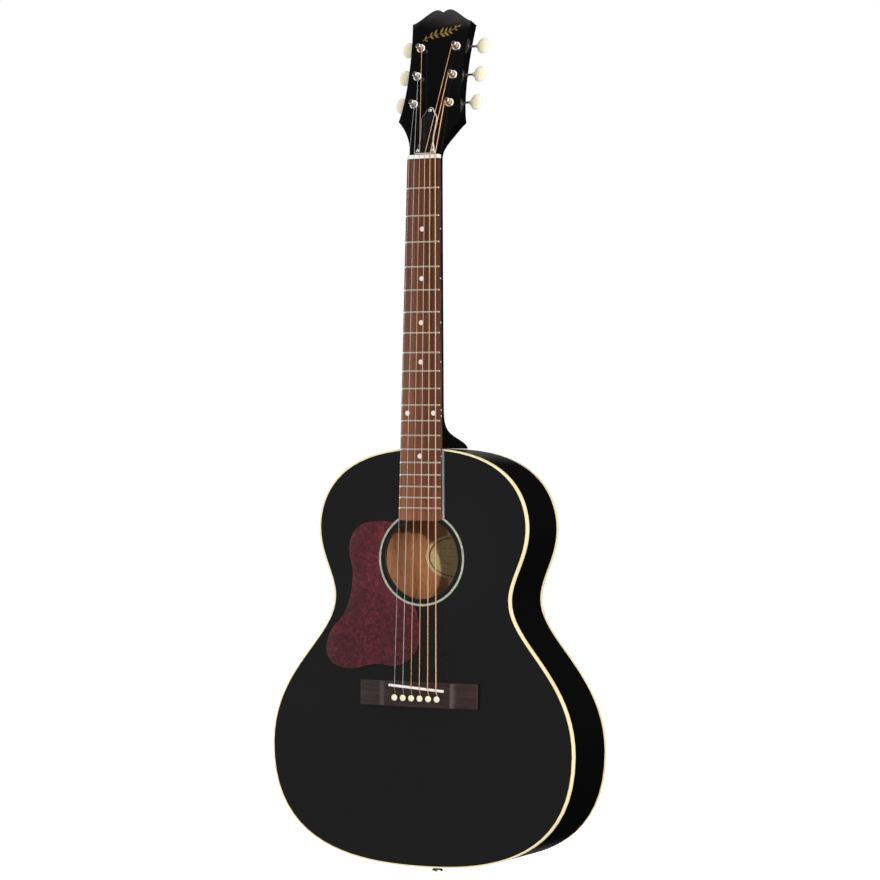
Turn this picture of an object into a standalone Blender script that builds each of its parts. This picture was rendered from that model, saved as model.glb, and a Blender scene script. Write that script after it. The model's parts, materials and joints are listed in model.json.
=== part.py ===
"""Left-handed acoustic guitar: hollow body, neck, six strings and six geared tuners.

World frame in metres: +X to the viewer's right, +Z up along the neck, and the soundboard
faces -Y.  The origin is the middle of the strap button's flat end, below the tail.
Heights along the body are measured from its tail edge, depths from the soundboard's face.
"""

import math

import bmesh
import bpy
from mathutils import Euler, Matrix, Vector
from mathutils.geometry import interpolate_bezier

# Clearance between pieces that touch.
GAP = 0.0003

# Body outline: full widths and the heights they lie at, then how far each bend reaches.
BODY_LENGTH = 0.5018
UPPER_BOUT_WIDTH = 0.2785
UPPER_BOUT_HEIGHT = 0.4063
WAIST_WIDTH = 0.2349
WAIST_HEIGHT = 0.3213
LOWER_BOUT_WIDTH = 0.4028
LOWER_BOUT_HEIGHT = 0.1411
TOP_REACH = 0.1244
SHOULDER_REACH = 0.0286
UPPER_BOUT_REACH = 0.0352
WAIST_UPPER_REACH = 0.0260
WAIST_LOWER_REACH = 0.0505
HIP_REACH = 0.0925
LOWER_BOUT_REACH = 0.1317
TAIL_REACH = 0.0768
OUTLINE_STEPS = 8

# Body walls.
DEPTH_AT_NECK = 0.0888
DEPTH_AT_TAIL = 0.1031
SOUNDBOARD_THICK = 0.0030
BACK_THICK = 0.0028
BACK_RIM = 0.0080
BACK_DOME = 0.0036
DOME_SCALES = (0.85, 0.65, 0.40)
SIDE_THICK = 0.0023
BINDING_WIDTH = 0.0020
BINDING_DEPTH = 0.0062
LINING_WIDTH = 0.0060
LINING_DEPTH = 0.0135
STRIP_WIDTH = 0.0200
STRIP_THICK = 0.0012
LABEL_WIDTH = 0.0800
LABEL_LENGTH = 0.0550
LABEL_THICK = 0.0003

# Blocks and braces.
NECK_BLOCK_WIDTH = 0.0760
NECK_BLOCK_LENGTH = 0.0450
TAIL_BLOCK_WIDTH = 0.0700
TAIL_BLOCK_LENGTH = 0.0200
BRACE_WIDTH = 0.0075
BRACE_TALL = 0.0140
BRACE_END_TALL = 0.0035
BRACE_TAPER = 0.0450
X_BRACE_ABOVE_BRIDGE = 0.0773
X_BRACE_UPPER_LEG = 0.1300
X_BRACE_LOWER_LEG = 0.1950
UPPER_BRACE_SHARE = 0.645
BACK_BRACE_HEIGHTS = (0.2950, 0.1500)
BRACE_END_CLEAR = 0.0040

# Scale, fretboard and soundhole.
SCALE_LENGTH = 0.62865
JOINT_FRET = 14
JOINT_FRET_INSIDE_BODY = 0.0020
FRET_COUNT = 19
FRET_WIDTH = 0.0022
FRET_TALL = 0.0010
FRETBOARD_THICK = 0.0060
FRETBOARD_RADIUS = 0.3048
FRETBOARD_PAST_LAST_FRET = 0.0149
FRETBOARD_END_WIDTH = 0.0568
FRETBOARD_FACETS = 4
NUT_WIDTH = 0.0430
NUT_LENGTH = 0.0047
NUT_TALL = 0.0077
SOUNDHOLE_RADIUS = 0.0485
FRETBOARD_OVER_HOLE = 0.0030
ROSETTE_FROM_HOLE = 0.00725
ROSETTE_WIDTH = 0.0026
ROSETTE_THICK = 0.0010
ROUND_STEPS = 36

# Bridge, saddle and pins.
BRIDGE_LENGTH = 0.1563
BRIDGE_WIDTH = 0.0300
BRIDGE_TALL = 0.0087
BRIDGE_WING_TALL = 0.0040
BRIDGE_FLAT = 0.0880
BRIDGE_RAMP = 0.0100
BRIDGE_BELOW_SADDLE = 0.0079
SADDLE_LENGTH = 0.0730
SADDLE_THICK = 0.0030
SADDLE_TALL = 0.0118
SADDLE_SLOT_DEPTH = 0.0050
SADDLE_SETBACK = 0.0050
SADDLE_SLANT = math.radians(4)
PIN_ROW_BELOW_SADDLE = 0.0123
PIN_SPACING = 0.0113
PIN_RADIUS = 0.0026
PIN_TIP_RADIUS = 0.0020
PIN_HEAD_RADIUS = 0.0038
PIN_HEAD_STAND = 0.0018
PIN_HEAD_TALL = 0.0030
PIN_BELOW_TOP = 0.0240
NOTCH_DEPTH = 0.0050
BRIDGE_PLATE_SIZE = (0.1000, 0.0025, 0.0360)

# Strings, from the thinnest on the left to the thickest on the right.
STRING_DIAMETERS = (0.00030, 0.00041, 0.00061, 0.00081, 0.00107, 0.00135)
STRING_SPREAD_AT_NUT = 0.0353
STRING_SPREAD_AT_SADDLE = 0.0558
STRING_IN_NOTCH = 0.0020
STRING_ON_POST = 0.0062

# Neck, heel and headstock.  Heel rows: height above the body, depth, half width of its cap.
NECK_DEPTH_AT_NUT = 0.0145
NECK_DEPTH_AT_HEEL = 0.0165
NECK_BACK_FLAT = 0.0020
NECK_FULLNESS = 0.85
SECTION_STEPS = 7
HEEL_ROWS = (
    (0.0600, 0.0165, 0.0020),
    (0.0460, 0.0171, 0.0022),
    (0.0360, 0.0187, 0.0035),
    (0.0285, 0.0235, 0.0060),
    (0.0226, 0.0320, 0.0085),
    (0.0160, 0.0520, 0.0125),
    (0.0110, 0.0745, 0.0155),
    (0.0060, 0.0860, 0.0170),
    (0.0003, 0.0860, 0.0170),
)
TENON_WIDTH = 0.0240
TENON_LENGTH = 0.0160
TENON_DEPTHS = (0.0200, 0.0680)
HEAD_TILT = math.radians(14)
HEAD_FACE_DEPTH = 0.0004
HEAD_THICK = 0.0150
VENEER_THICK = 0.0015
HEAD_NOTCH = 0.1843
HEAD_HUMP = (0.0087, 0.1879)
HEAD_CORNER = (0.0397, 0.1708)
HEAD_FLARE = (0.0422, 0.0442)
HEAD_UNDER_NUT = 0.0080

# Truss rod, with its cover on the headstock.
ROD_WIDTH = 0.0050
ROD_DEPTHS = (0.0006, 0.0105)
ROD_ABOVE_BODY = 0.0060
ROD_AXIS_DEPTH = 0.0080
ROD_THREAD_RADIUS = 0.0022
ROD_NUT_RADIUS = 0.0033
ROD_NUT_LENGTH = 0.0100
ROD_POCKET_START = 0.0040
ROD_POCKET_LENGTH = 0.0340
ROD_POCKET_HALF = 0.0055
COVER_START = 0.0015
COVER_LENGTH = 0.0595
COVER_THICK = 0.0022
COVER_BASE_HALF = 0.0138
COVER_SIDE_HALF = 0.0108

# Tuners.  Rows run from the nut to the tip, and the key lies above its post.
POST_SPACING = 0.0480
POST_ROWS = (0.0661, 0.1021, 0.1387)
POST_RADIUS = 0.0030
POST_REACH = 0.0100
BUSHING_RADIUS = 0.0044
BUSHING_FLANGE_RADIUS = 0.0054
BUSHING_FLANGE_TALL = 0.0022
PLATE_THICK = 0.0012
PLATE_HALF = 0.0105
PLATE_BELOW_POST = 0.0080
PLATE_ABOVE_POST = 0.0115
GEAR_RADIUS = 0.0043
GEAR_THICK = 0.0032
WORM_RADIUS = 0.0019
KEY_SHAFT_RADIUS = 0.0014
LUG_THICK = 0.0025
LUG_HALF = 0.0032
LUG_INNER_FACE = 0.0060
BUTTON_REACH = 0.0263
BUTTON_SIZE = (0.0148, 0.0184, 0.0076)

# Strap button under the tail.
STRAP_REACH = 0.0105
STRAP_HEAD_RADIUS = 0.0072
STRAP_NECK_RADIUS = 0.0038
STRAP_BASE_RADIUS = 0.0055
STRAP_SCREW_RADIUS = 0.0024
STRAP_SCREW_LENGTH = 0.0180

# Pickguard control points, right and up from the soundhole's middle.  The last two lie
# inside the rosette, where a round cut gives the guard its inner edge.
PICKGUARD_POINTS = (
    (-0.0360, 0.0432), (-0.0600, 0.0440), (-0.0860, 0.0362), (-0.0968, 0.0160),
    (-0.0920, -0.0220), (-0.1010, -0.0640), (-0.1240, -0.0960), (-0.1240, -0.1225),
    (-0.1020, -0.1342), (-0.0600, -0.1283), (-0.0230, -0.1270), (-0.0040, -0.1080),
    (-0.0022, -0.0760), (-0.0070, -0.0575), (-0.0200, 0.0000),
)
PICKGUARD_CORNERS = (0, 13, 14)
PICKGUARD_THICK = 0.0012
PICKGUARD_ABOVE_BRIDGE = 0.0131

# Places worked out from the sizes above.
FACE_Y = -DEPTH_AT_TAIL / 2
TAIL_Z = STRAP_REACH
BODY_TOP_Z = TAIL_Z + BODY_LENGTH
JOINT_FROM_NUT = SCALE_LENGTH * (1 - 2 ** (-JOINT_FRET / 12))
NUT_Z = BODY_TOP_Z - JOINT_FRET_INSIDE_BODY + JOINT_FROM_NUT
NUT_TOP_Z = NUT_Z + GAP + NUT_LENGTH
LAST_FRET_Z = NUT_Z - SCALE_LENGTH * (1 - 2 ** (-FRET_COUNT / 12))
FRETBOARD_END_Z = LAST_FRET_Z - FRETBOARD_PAST_LAST_FRET
FRETBOARD_TAPER = (FRETBOARD_END_WIDTH - NUT_WIDTH) / (NUT_Z - FRETBOARD_END_Z)
SOUNDHOLE_Z = FRETBOARD_END_Z + FRETBOARD_OVER_HOLE - SOUNDHOLE_RADIUS
ROSETTE_RADIUS = SOUNDHOLE_RADIUS + ROSETTE_FROM_HOLE
SADDLE_Z = NUT_Z - SCALE_LENGTH - SADDLE_SETBACK
BRIDGE_Z = SADDLE_Z - BRIDGE_BELOW_SADDLE
PIN_Z = SADDLE_Z - PIN_ROW_BELOW_SADDLE
BRIDGE_TOP_Y = FACE_Y - GAP - BRIDGE_TALL
WORM_OFFSET = GEAR_RADIUS + GAP + WORM_RADIUS
PLATE_BACK = -HEAD_THICK - GAP - PLATE_THICK
KEY_DEPTH = PLATE_BACK - GAP - GEAR_THICK / 2

UPRIGHT = Euler((math.pi / 2, 0, 0))
HEAD_UPRIGHT = Euler((math.pi / 2 - HEAD_TILT, 0, 0))
HEAD_FRAME = Matrix.LocRotScale((0, FACE_Y + HEAD_FACE_DEPTH, NUT_TOP_Z), HEAD_UPRIGHT, None)
RIGHT, LEFT = 1, -1

FINISHES = {
    "black_gloss": ((0.012, 0.011, 0.012), 0.12, 0.0),
    "cream_binding": ((0.83, 0.72, 0.48), 0.35, 0.0),
    "mahogany": ((0.30, 0.14, 0.07), 0.50, 0.0),
    "spruce": ((0.72, 0.52, 0.30), 0.55, 0.0),
    "fretboard_wood": ((0.20, 0.07, 0.05), 0.45, 0.0),
    "bridge_wood": ((0.06, 0.035, 0.03), 0.50, 0.0),
    "bone": ((0.90, 0.88, 0.82), 0.35, 0.0),
    "ivory_plastic": ((0.88, 0.80, 0.58), 0.25, 0.0),
    "red_shell": ((0.16, 0.02, 0.035), 0.12, 0.0),
    "rosette_plastic": ((0.55, 0.57, 0.42), 0.30, 0.0),
    "label_paper": ((0.62, 0.47, 0.24), 0.80, 0.0),
    "nickel": ((0.70, 0.68, 0.64), 0.22, 1.0),
    "steel": ((0.62, 0.62, 0.62), 0.28, 1.0),
    "bronze": ((0.72, 0.42, 0.25), 0.30, 1.0),
    "brass": ((0.75, 0.56, 0.25), 0.30, 1.0),
    "black_plastic": ((0.015, 0.015, 0.016), 0.25, 0.0),
}


# ---------------------------------------------------------------- scene and materials

def clear_scene():
    """Removes every object that the scene starts with."""
    for obj in list(bpy.data.objects):
        bpy.data.objects.remove(obj)


def new_collection(name):
    """Adds a collection to the scene."""
    collection = bpy.data.collections.new(name)
    bpy.context.scene.collection.children.link(collection)
    return collection


clear_scene()
PARTS = new_collection("acoustic_guitar")
CUTTERS = new_collection("cutters")
CUTTERS.hide_render = True


def material(name):
    """The named finish as a Principled BSDF material."""
    found = bpy.data.materials.get(name)
    if found:
        return found
    colour, roughness, metallic = FINISHES[name]
    made = bpy.data.materials.new(name)
    made.use_nodes = True
    shader = made.node_tree.nodes["Principled BSDF"]
    shader.inputs["Base Color"].default_value = (*colour, 1)
    shader.inputs["Roughness"].default_value = roughness
    shader.inputs["Metallic"].default_value = metallic
    made.diffuse_color = (*colour, 1)
    return made


def add_part(name, data, finish, location=(0, 0, 0), rotation=(0, 0, 0), parent=None):
    """Adds one sub-part to the guitar's collection."""
    obj = bpy.data.objects.new(name, data)
    obj.location = location
    obj.rotation_euler = rotation
    obj.parent = parent
    data.materials.append(material(finish))
    PARTS.objects.link(obj)
    if isinstance(data, bpy.types.Mesh):
        data.shade_smooth()
        data.set_sharp_from_angle(angle=math.radians(30))
    return obj


def add_cutter(name, data, location=(0, 0, 0), rotation=(0, 0, 0), parent=None):
    """Adds a solid that only cuts or joins other solids."""
    obj = bpy.data.objects.new(name, data)
    obj.location = location
    obj.rotation_euler = rotation
    obj.parent = parent
    obj.hide_render = True
    obj.display_type = "WIRE"
    CUTTERS.objects.link(obj)
    return obj


def boolean(obj, other, operation="DIFFERENCE"):
    """Cuts, joins or intersects obj with another solid."""
    modifier = obj.modifiers.new(other.name, "BOOLEAN")
    modifier.object = other
    modifier.operation = operation
    modifier.solver = "EXACT"


def bevel(obj, width, segments=2):
    """Rounds the sharp edges of obj."""
    modifier = obj.modifiers.new("rounded_edges", "BEVEL")
    modifier.width = width
    modifier.segments = segments
    modifier.limit_method = "ANGLE"


# ---------------------------------------------------------------- outlines and meshes

def smooth_path(spans, steps):
    """Points along a chain of Bezier spans, each given by its four (x, y) points."""
    points = []
    for span in spans:
        start, first, second, end = (Vector((*point, 0)) for point in span)
        points += interpolate_bezier(start, first, second, end, steps + 1)[:-1]
    points.append(Vector((*spans[-1][3], 0)))
    return [point.xy for point in points]


def mirrored(half):
    """A closed loop from its right half, which may start or end on the middle line."""
    return half + [Vector((-point.x, point.y)) for point in reversed(half) if point.x > 0]


def body_loop(inset=0.0):
    """The body's outline in (x, z), clockwise from the neck, moved in by inset."""
    upper = UPPER_BOUT_WIDTH / 2
    waist = WAIST_WIDTH / 2
    lower = LOWER_BOUT_WIDTH / 2
    upper_z = TAIL_Z + UPPER_BOUT_HEIGHT
    waist_z = TAIL_Z + WAIST_HEIGHT
    lower_z = TAIL_Z + LOWER_BOUT_HEIGHT
    half = smooth_path((
        ((0, BODY_TOP_Z), (TOP_REACH, BODY_TOP_Z),
         (upper, upper_z + SHOULDER_REACH), (upper, upper_z)),
        ((upper, upper_z), (upper, upper_z - UPPER_BOUT_REACH),
         (waist, waist_z + WAIST_UPPER_REACH), (waist, waist_z)),
        ((waist, waist_z), (waist, waist_z - WAIST_LOWER_REACH),
         (lower, lower_z + HIP_REACH), (lower, lower_z)),
        ((lower, lower_z), (lower, lower_z - LOWER_BOUT_REACH),
         (TAIL_REACH, TAIL_Z), (0, TAIL_Z)),
    ), OUTLINE_STEPS)
    loop = mirrored(half)
    moved = []
    for before, point, after in zip(loop[-1:] + loop[:-1], loop, loop[1:] + loop[:1]):
        along = (after - before).normalized()
        moved.append(point + inset * Vector((along.y, -along.x)))
    return moved


def body_half_width(z, inset=0.0):
    """Half the body's width at height z, moved in by inset."""
    loop = body_loop(inset)
    half = loop[:len(loop) // 2 + 1]
    for above, below in zip(half, half[1:]):
        if below.y <= z <= above.y:
            share = (above.y - z) / (above.y - below.y)
            return above.x + share * (below.x - above.x)
    return 0.0


def circle_loop(radius, z=0.0, steps=ROUND_STEPS):
    """A circle in (x, z) about the middle line at height z."""
    turns = [2 * math.pi * step / steps for step in range(steps)]
    return [Vector((radius * math.sin(turn), z + radius * math.cos(turn))) for turn in turns]


def flat_curve(name, loops, thickness):
    """Filled 2D outlines with a thickness, lying in their own XY plane."""
    curve = bpy.data.curves.new(name, "CURVE")
    curve.dimensions = "2D"
    curve.fill_mode = "BOTH"
    curve.extrude = thickness / 2
    for loop in loops:
        spline = curve.splines.new("POLY")
        spline.points.add(len(loop) - 1)
        for target, point in zip(spline.points, loop):
            target.co = (*point, 0, 1)
        spline.use_cyclic_u = True
    return curve


def mesh_from_curve(curve):
    """A clean closed mesh of a curve."""
    holder = bpy.data.objects.new("holder", curve)
    mesh = bpy.data.meshes.new_from_object(holder)
    bpy.data.objects.remove(holder)
    bm = bmesh.new()
    bm.from_mesh(mesh)
    bmesh.ops.remove_doubles(bm, verts=bm.verts, dist=1e-6)
    bmesh.ops.recalc_face_normals(bm, faces=bm.faces)
    bm.to_mesh(mesh)
    bm.free()
    return mesh


def flat_mesh(name, loops, thickness):
    """Filled outlines with a thickness, as a mesh."""
    return mesh_from_curve(flat_curve(name, loops, thickness))


def box_mesh(name, low, high):
    """A box between two corners."""
    low, high = Vector(low), Vector(high)
    bm = bmesh.new()
    bmesh.ops.create_cube(bm, size=1)
    bmesh.ops.scale(bm, vec=high - low, verts=bm.verts)
    bmesh.ops.translate(bm, vec=(low + high) / 2, verts=bm.verts)
    mesh = bpy.data.meshes.new(name)
    bm.to_mesh(mesh)
    bm.free()
    return mesh


def rods_mesh(name, radius, length, places, steps=16):
    """Upright cylinders at the given middles."""
    bm = bmesh.new()
    for place in places:
        bmesh.ops.create_cone(
            bm, cap_ends=True, segments=steps, radius1=radius, radius2=radius,
            depth=length, matrix=Matrix.Translation(place))
    mesh = bpy.data.meshes.new(name)
    bm.to_mesh(mesh)
    bm.free()
    return mesh


def turned_mesh(name, profile):
    """A profile of (radius, height) points that a Screw modifier will turn about Z."""
    mesh = bpy.data.meshes.new(name)
    edges = [(index, index + 1) for index in range(len(profile) - 1)]
    mesh.from_pydata([(radius, 0, height) for radius, height in profile], edges, [])
    return mesh


def turn(obj, steps):
    """Turns the profile in obj about its own Z axis."""
    modifier = obj.modifiers.new("turned", "SCREW")
    modifier.steps = steps
    modifier.render_steps = steps
    modifier.use_merge_vertices = True
    modifier.merge_threshold = 0.0001
    return obj


# ---------------------------------------------------------------- body shell

def at_depth(depth):
    """The same depth below the soundboard's face at every height."""
    return lambda z: depth


def rear_depth(inside=0.0):
    """The depth of the back's flat rim at a height, less inside."""
    slope = (DEPTH_AT_NECK - DEPTH_AT_TAIL) / BODY_LENGTH
    return lambda z: DEPTH_AT_TAIL + slope * (z - TAIL_Z) - inside


def body_mesh(name, loops, front, rear):
    """Outlines in (x, z) carried from one depth of the body to another."""
    mesh = flat_mesh(name, loops, 1.0)
    for vertex in mesh.vertices:
        x, z, side = vertex.co
        depth = front(z) if side > 0 else rear(z)
        vertex.co = (x, FACE_Y + depth, z)
    return mesh


def ring_loops(outer, inner):
    """The body's outline at two insets, as the loops of a ring."""
    return [body_loop(outer), body_loop(inner)]


def make_bindings():
    """The two cream strips that edge the body."""
    loops = ring_loops(0, BINDING_WIDTH)
    front = body_mesh("front_binding", loops, at_depth(0), at_depth(BINDING_DEPTH))
    add_part("front_binding", front, "cream_binding")
    rear = body_mesh("rear_binding", loops, rear_depth(BINDING_DEPTH), rear_depth())
    add_part("rear_binding", rear, "cream_binding")


def make_sides(tenon_hole, screw_hole):
    """The bent sides, which meet at the neck and under the tail."""
    edge = BINDING_DEPTH + GAP
    outer, inner = ring_loops(0, SIDE_THICK)
    middle = len(outer) // 2
    half = outer[:middle + 1] + inner[middle::-1]
    seam = GAP / 2
    for name, side in (("side_right", RIGHT), ("side_left", LEFT)):
        loop = [Vector((side * max(point.x, seam), point.y)) for point in half]
        wall = body_mesh(name, [loop], at_depth(edge), rear_depth(edge))
        obj = add_part(name, wall, "black_gloss")
        boolean(obj, tenon_hole)
        boolean(obj, screw_hole)


def make_soundboard(pin_holes):
    """The top, with the soundhole, the rosette's groove and the holes for the pins."""
    loops = [body_loop(BINDING_WIDTH + GAP), circle_loop(SOUNDHOLE_RADIUS, SOUNDHOLE_Z)]
    board = body_mesh("soundboard", loops, at_depth(0), at_depth(SOUNDBOARD_THICK))
    obj = add_part("soundboard", board, "black_gloss")
    groove = body_mesh(
        "rosette_groove", rosette_loops(GAP), at_depth(-GAP), at_depth(ROSETTE_THICK + GAP))
    boolean(obj, add_cutter("rosette_groove", groove))
    boolean(obj, pin_holes)


def rosette_loops(grow=0.0):
    """The rosette's ring, made wider all round by grow."""
    half = ROSETTE_WIDTH / 2 + grow
    return [circle_loop(ROSETTE_RADIUS + half, SOUNDHOLE_Z),
            circle_loop(ROSETTE_RADIUS - half, SOUNDHOLE_Z)]


def make_rosette():
    """The ring let into the top around the soundhole."""
    ring = body_mesh("rosette", rosette_loops(), at_depth(0), at_depth(ROSETTE_THICK))
    add_part("rosette", ring, "rosette_plastic")


def domed_mesh(name, lift):
    """One sheet over the back's inner face, moved into the body by lift."""
    middle = TAIL_Z + BODY_LENGTH / 2
    depth = rear_depth(BACK_THICK + lift)
    bm = bmesh.new()
    rim = [bm.verts.new((point.x, 0, point.y)) for point in body_loop(BINDING_WIDTH + GAP)]
    face = bm.faces.new(rim)
    face.normal_update()
    if face.normal.y < 0:
        face.normal_flip()
    bmesh.ops.inset_region(bm, faces=[face], thickness=BACK_RIM, use_boundary=True,
                           use_even_offset=True)
    past = 1.0
    for scale in DOME_SCALES:
        bmesh.ops.inset_region(bm, faces=[face], thickness=0)
        corners = list(face.verts)
        about = Matrix.Translation((0, 0, -middle))
        bmesh.ops.scale(bm, vec=(scale / past, 1, scale / past), space=about, verts=corners)
        rise = BACK_DOME * (1 - scale ** 2) / (1 - DOME_SCALES[-1] ** 2)
        for corner in corners:
            corner.co.y = rise
        past = scale
    for vertex in bm.verts:
        vertex.co.y += FACE_Y + depth(vertex.co.z)
    mesh = bpy.data.meshes.new(name)
    bm.to_mesh(mesh)
    bm.free()
    return mesh


def thicken(obj, thickness):
    """Gives a sheet its thickness, away from the inside of the body."""
    modifier = obj.modifiers.new("thickness", "SOLIDIFY")
    modifier.thickness = thickness
    modifier.offset = 1
    return obj


def domed_cutter(name, lift, thickness):
    """A thick copy of the back's curve, moved into the body by lift."""
    return thicken(add_cutter(name, domed_mesh(name, lift)), thickness)


def make_back():
    """The domed back, whose rim is flat where the lining meets it."""
    thicken(add_part("back_plate", domed_mesh("back_plate", 0), "black_gloss"), BACK_THICK)


def make_back_strip():
    """The strip that covers the back's middle joint, between the two blocks."""
    lift = GAP + STRIP_THICK
    strip = thicken(add_part("back_strip", domed_mesh("back_strip", lift), "spruce"),
                    STRIP_THICK)
    half = STRIP_WIDTH / 2
    low = TAIL_Z + SIDE_THICK + TAIL_BLOCK_LENGTH + 2 * GAP
    high = BODY_TOP_Z - SIDE_THICK - NECK_BLOCK_LENGTH - 2 * GAP
    column = box_mesh("strip_column", (-half, FACE_Y, low), (half, -2 * FACE_Y, high))
    boolean(strip, add_cutter("strip_column", column), "INTERSECT")


def make_label():
    """The oval paper label that shows through the soundhole."""
    lift = STRIP_THICK + LABEL_THICK + 2 * GAP
    label = thicken(add_part("label", domed_mesh("label", lift), "label_paper"), LABEL_THICK)
    oval = [Vector((point.x * LABEL_WIDTH, SOUNDHOLE_Z + point.y * LABEL_LENGTH))
            for point in circle_loop(0.5)]
    column = body_mesh("label_column", [oval], at_depth(0), at_depth(2 * DEPTH_AT_TAIL))
    boolean(label, add_cutter("label_column", column), "INTERSECT")


# ---------------------------------------------------------------- inside the body

def lining_loops(grow=0.0):
    """The lining's ring inside the sides, made wider by grow."""
    outer = SIDE_THICK + GAP
    return ring_loops(outer - grow, outer + LINING_WIDTH + grow)


def make_linings():
    """The strips that glue the sides to the top and to the back."""
    front_start = SOUNDBOARD_THICK + GAP
    rear_end = BACK_THICK + GAP
    front = body_mesh("front_lining", lining_loops(), at_depth(front_start),
                      at_depth(front_start + LINING_DEPTH))
    add_part("front_lining", front, "mahogany")
    rear = body_mesh("rear_lining", lining_loops(), rear_depth(rear_end + LINING_DEPTH),
                     rear_depth(rear_end))
    add_part("rear_lining", rear, "mahogany")


def lining_cutters():
    """Room for both linings in the blocks."""
    reach = SOUNDBOARD_THICK + 2 * GAP + LINING_DEPTH
    rear_reach = BACK_THICK + 2 * GAP + LINING_DEPTH
    loops = lining_loops(GAP + SIDE_THICK / 2)
    loops[1] = body_loop(SIDE_THICK + LINING_WIDTH + 2 * GAP)
    front = body_mesh("front_lining_room", loops, at_depth(-GAP), at_depth(reach))
    rear = body_mesh("rear_lining_room", loops, rear_depth(rear_reach), rear_depth(-GAP))
    return [add_cutter("front_lining_room", front), add_cutter("rear_lining_room", rear)]


def block_loop(width, length, top):
    """A block's outline: it follows the side, and its inner end is straight."""
    inset = SIDE_THICK + GAP
    loop = body_loop(inset)
    right = loop[:len(loop) // 2 + 1]
    if not top:
        right.reverse()
    limit = width / 2
    half = []
    for point, after in zip(right, right[1:]):
        half.append(point)
        if after.x > limit:
            share = (limit - point.x) / (after.x - point.x)
            half.append(point.lerp(after, share))
            break
    inner_z = half[0].y - length if top else half[0].y + length
    half.append(Vector((limit, inner_z)))
    return mirrored(half)


def make_blocks(tenon_hole, screw_hole):
    """The neck block and the tail block, notched for the linings."""
    rooms = lining_cutters()
    rows = (
        ("neck_block", block_loop(NECK_BLOCK_WIDTH, NECK_BLOCK_LENGTH, True), tenon_hole),
        ("tail_block", block_loop(TAIL_BLOCK_WIDTH, TAIL_BLOCK_LENGTH, False), screw_hole),
    )
    for name, loop, hole in rows:
        block = body_mesh(name, [loop], at_depth(SOUNDBOARD_THICK + GAP),
                          rear_depth(BACK_THICK + GAP))
        obj = add_part(name, block, "mahogany")
        for cutter in [*rooms, hole]:
            boolean(obj, cutter)


def brace_profile(left, right, notch=None):
    """A brace from the side: tapered ends, and a half-lap notch where it crosses another."""
    top = [(right, BRACE_END_TALL), (right - BRACE_TAPER, BRACE_TALL),
           (BRACE_TAPER - left, BRACE_TALL), (-left, BRACE_END_TALL)]
    foot = [(-left, 0), (right, 0)]
    half = BRACE_WIDTH / 2 + GAP
    if notch == "foot":
        level = BRACE_TALL / 2 + GAP / 2
        foot[1:1] = [(-half, 0), (-half, level), (half, level), (half, 0)]
    if notch == "top":
        level = BRACE_TALL / 2 - GAP / 2
        top[2:2] = [(half, BRACE_TALL), (half, level), (-half, level), (-half, BRACE_TALL)]
    return [Vector(point) for point in foot + top]


def make_x_braces():
    """The two crossing braces under the top."""
    height = BRIDGE_Z + X_BRACE_ABOVE_BRIDGE
    place = (0, FACE_Y + SOUNDBOARD_THICK + GAP, height)
    rows = (
        ("x_brace_1", X_BRACE_LOWER_LEG, X_BRACE_UPPER_LEG, "foot", -math.pi / 4),
        ("x_brace_2", X_BRACE_UPPER_LEG, X_BRACE_LOWER_LEG, "top", math.pi / 4),
    )
    for name, left, right, notch, angle in rows:
        bar = flat_mesh(name, [brace_profile(left, right, notch)], BRACE_WIDTH)
        add_part(name, bar, "spruce", place, (0, angle, 0))


def brace_half_length(z):
    """Half the length of a brace that runs from lining to lining at height z."""
    inside = SIDE_THICK + LINING_WIDTH + 2 * GAP
    return body_half_width(z, inside) - BRACE_END_CLEAR


def make_upper_brace():
    """The brace across the top between the soundhole and the neck block."""
    hole_edge = SOUNDHOLE_Z + SOUNDHOLE_RADIUS
    block_edge = BODY_TOP_Z - SIDE_THICK - GAP - NECK_BLOCK_LENGTH
    z = hole_edge + UPPER_BRACE_SHARE * (block_edge - hole_edge)
    half = brace_half_length(z)
    bar = flat_mesh("upper_brace", [brace_profile(half, half)], BRACE_WIDTH)
    add_part("upper_brace", bar, "spruce", (0, FACE_Y + SOUNDBOARD_THICK + GAP, z))


def make_back_braces():
    """Braces across the back, shaped to its dome and notched over the middle strip."""
    seat = domed_cutter("brace_seat", GAP, BRACE_TALL)
    half_strip = STRIP_WIDTH / 2 + GAP
    slope = (DEPTH_AT_TAIL - DEPTH_AT_NECK) / BODY_LENGTH
    strip_room = 2 * GAP + STRIP_THICK + slope * BRACE_WIDTH
    for number, height in enumerate(BACK_BRACE_HEIGHTS, 1):
        z = TAIL_Z + height
        inner_y = FACE_Y + rear_depth(BACK_THICK)(z) + BACK_DOME
        half = brace_half_length(z)
        name = f"back_brace_{number}"
        bar = flat_mesh(name, [brace_profile(half, half)], BRACE_WIDTH)
        obj = add_part(name, bar, "spruce", (0, inner_y, z), (math.pi, 0, 0))
        boolean(obj, seat)
        notch = box_mesh(name + "_notch", (-half_strip, inner_y - strip_room - BACK_DOME / 8,
                                           z - BRACE_WIDTH),
                         (half_strip, inner_y + BACK_THICK, z + BRACE_WIDTH))
        boolean(obj, add_cutter(name + "_notch", notch))


def make_bridge_plate(pin_holes):
    """The plate under the top that the string ends pull against."""
    width, thickness, length = BRIDGE_PLATE_SIZE
    front = FACE_Y + SOUNDBOARD_THICK + GAP
    plate = box_mesh("bridge_plate", (-width / 2, front, BRIDGE_Z - length / 2),
                     (width / 2, front + thickness, BRIDGE_Z + length / 2))
    boolean(add_part("bridge_plate", plate, "mahogany"), pin_holes)


# ---------------------------------------------------------------- bridge and pickguard

def pin_x(number):
    """How far right of the middle a bridge pin sits."""
    return (number - 3.5) * PIN_SPACING


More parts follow.
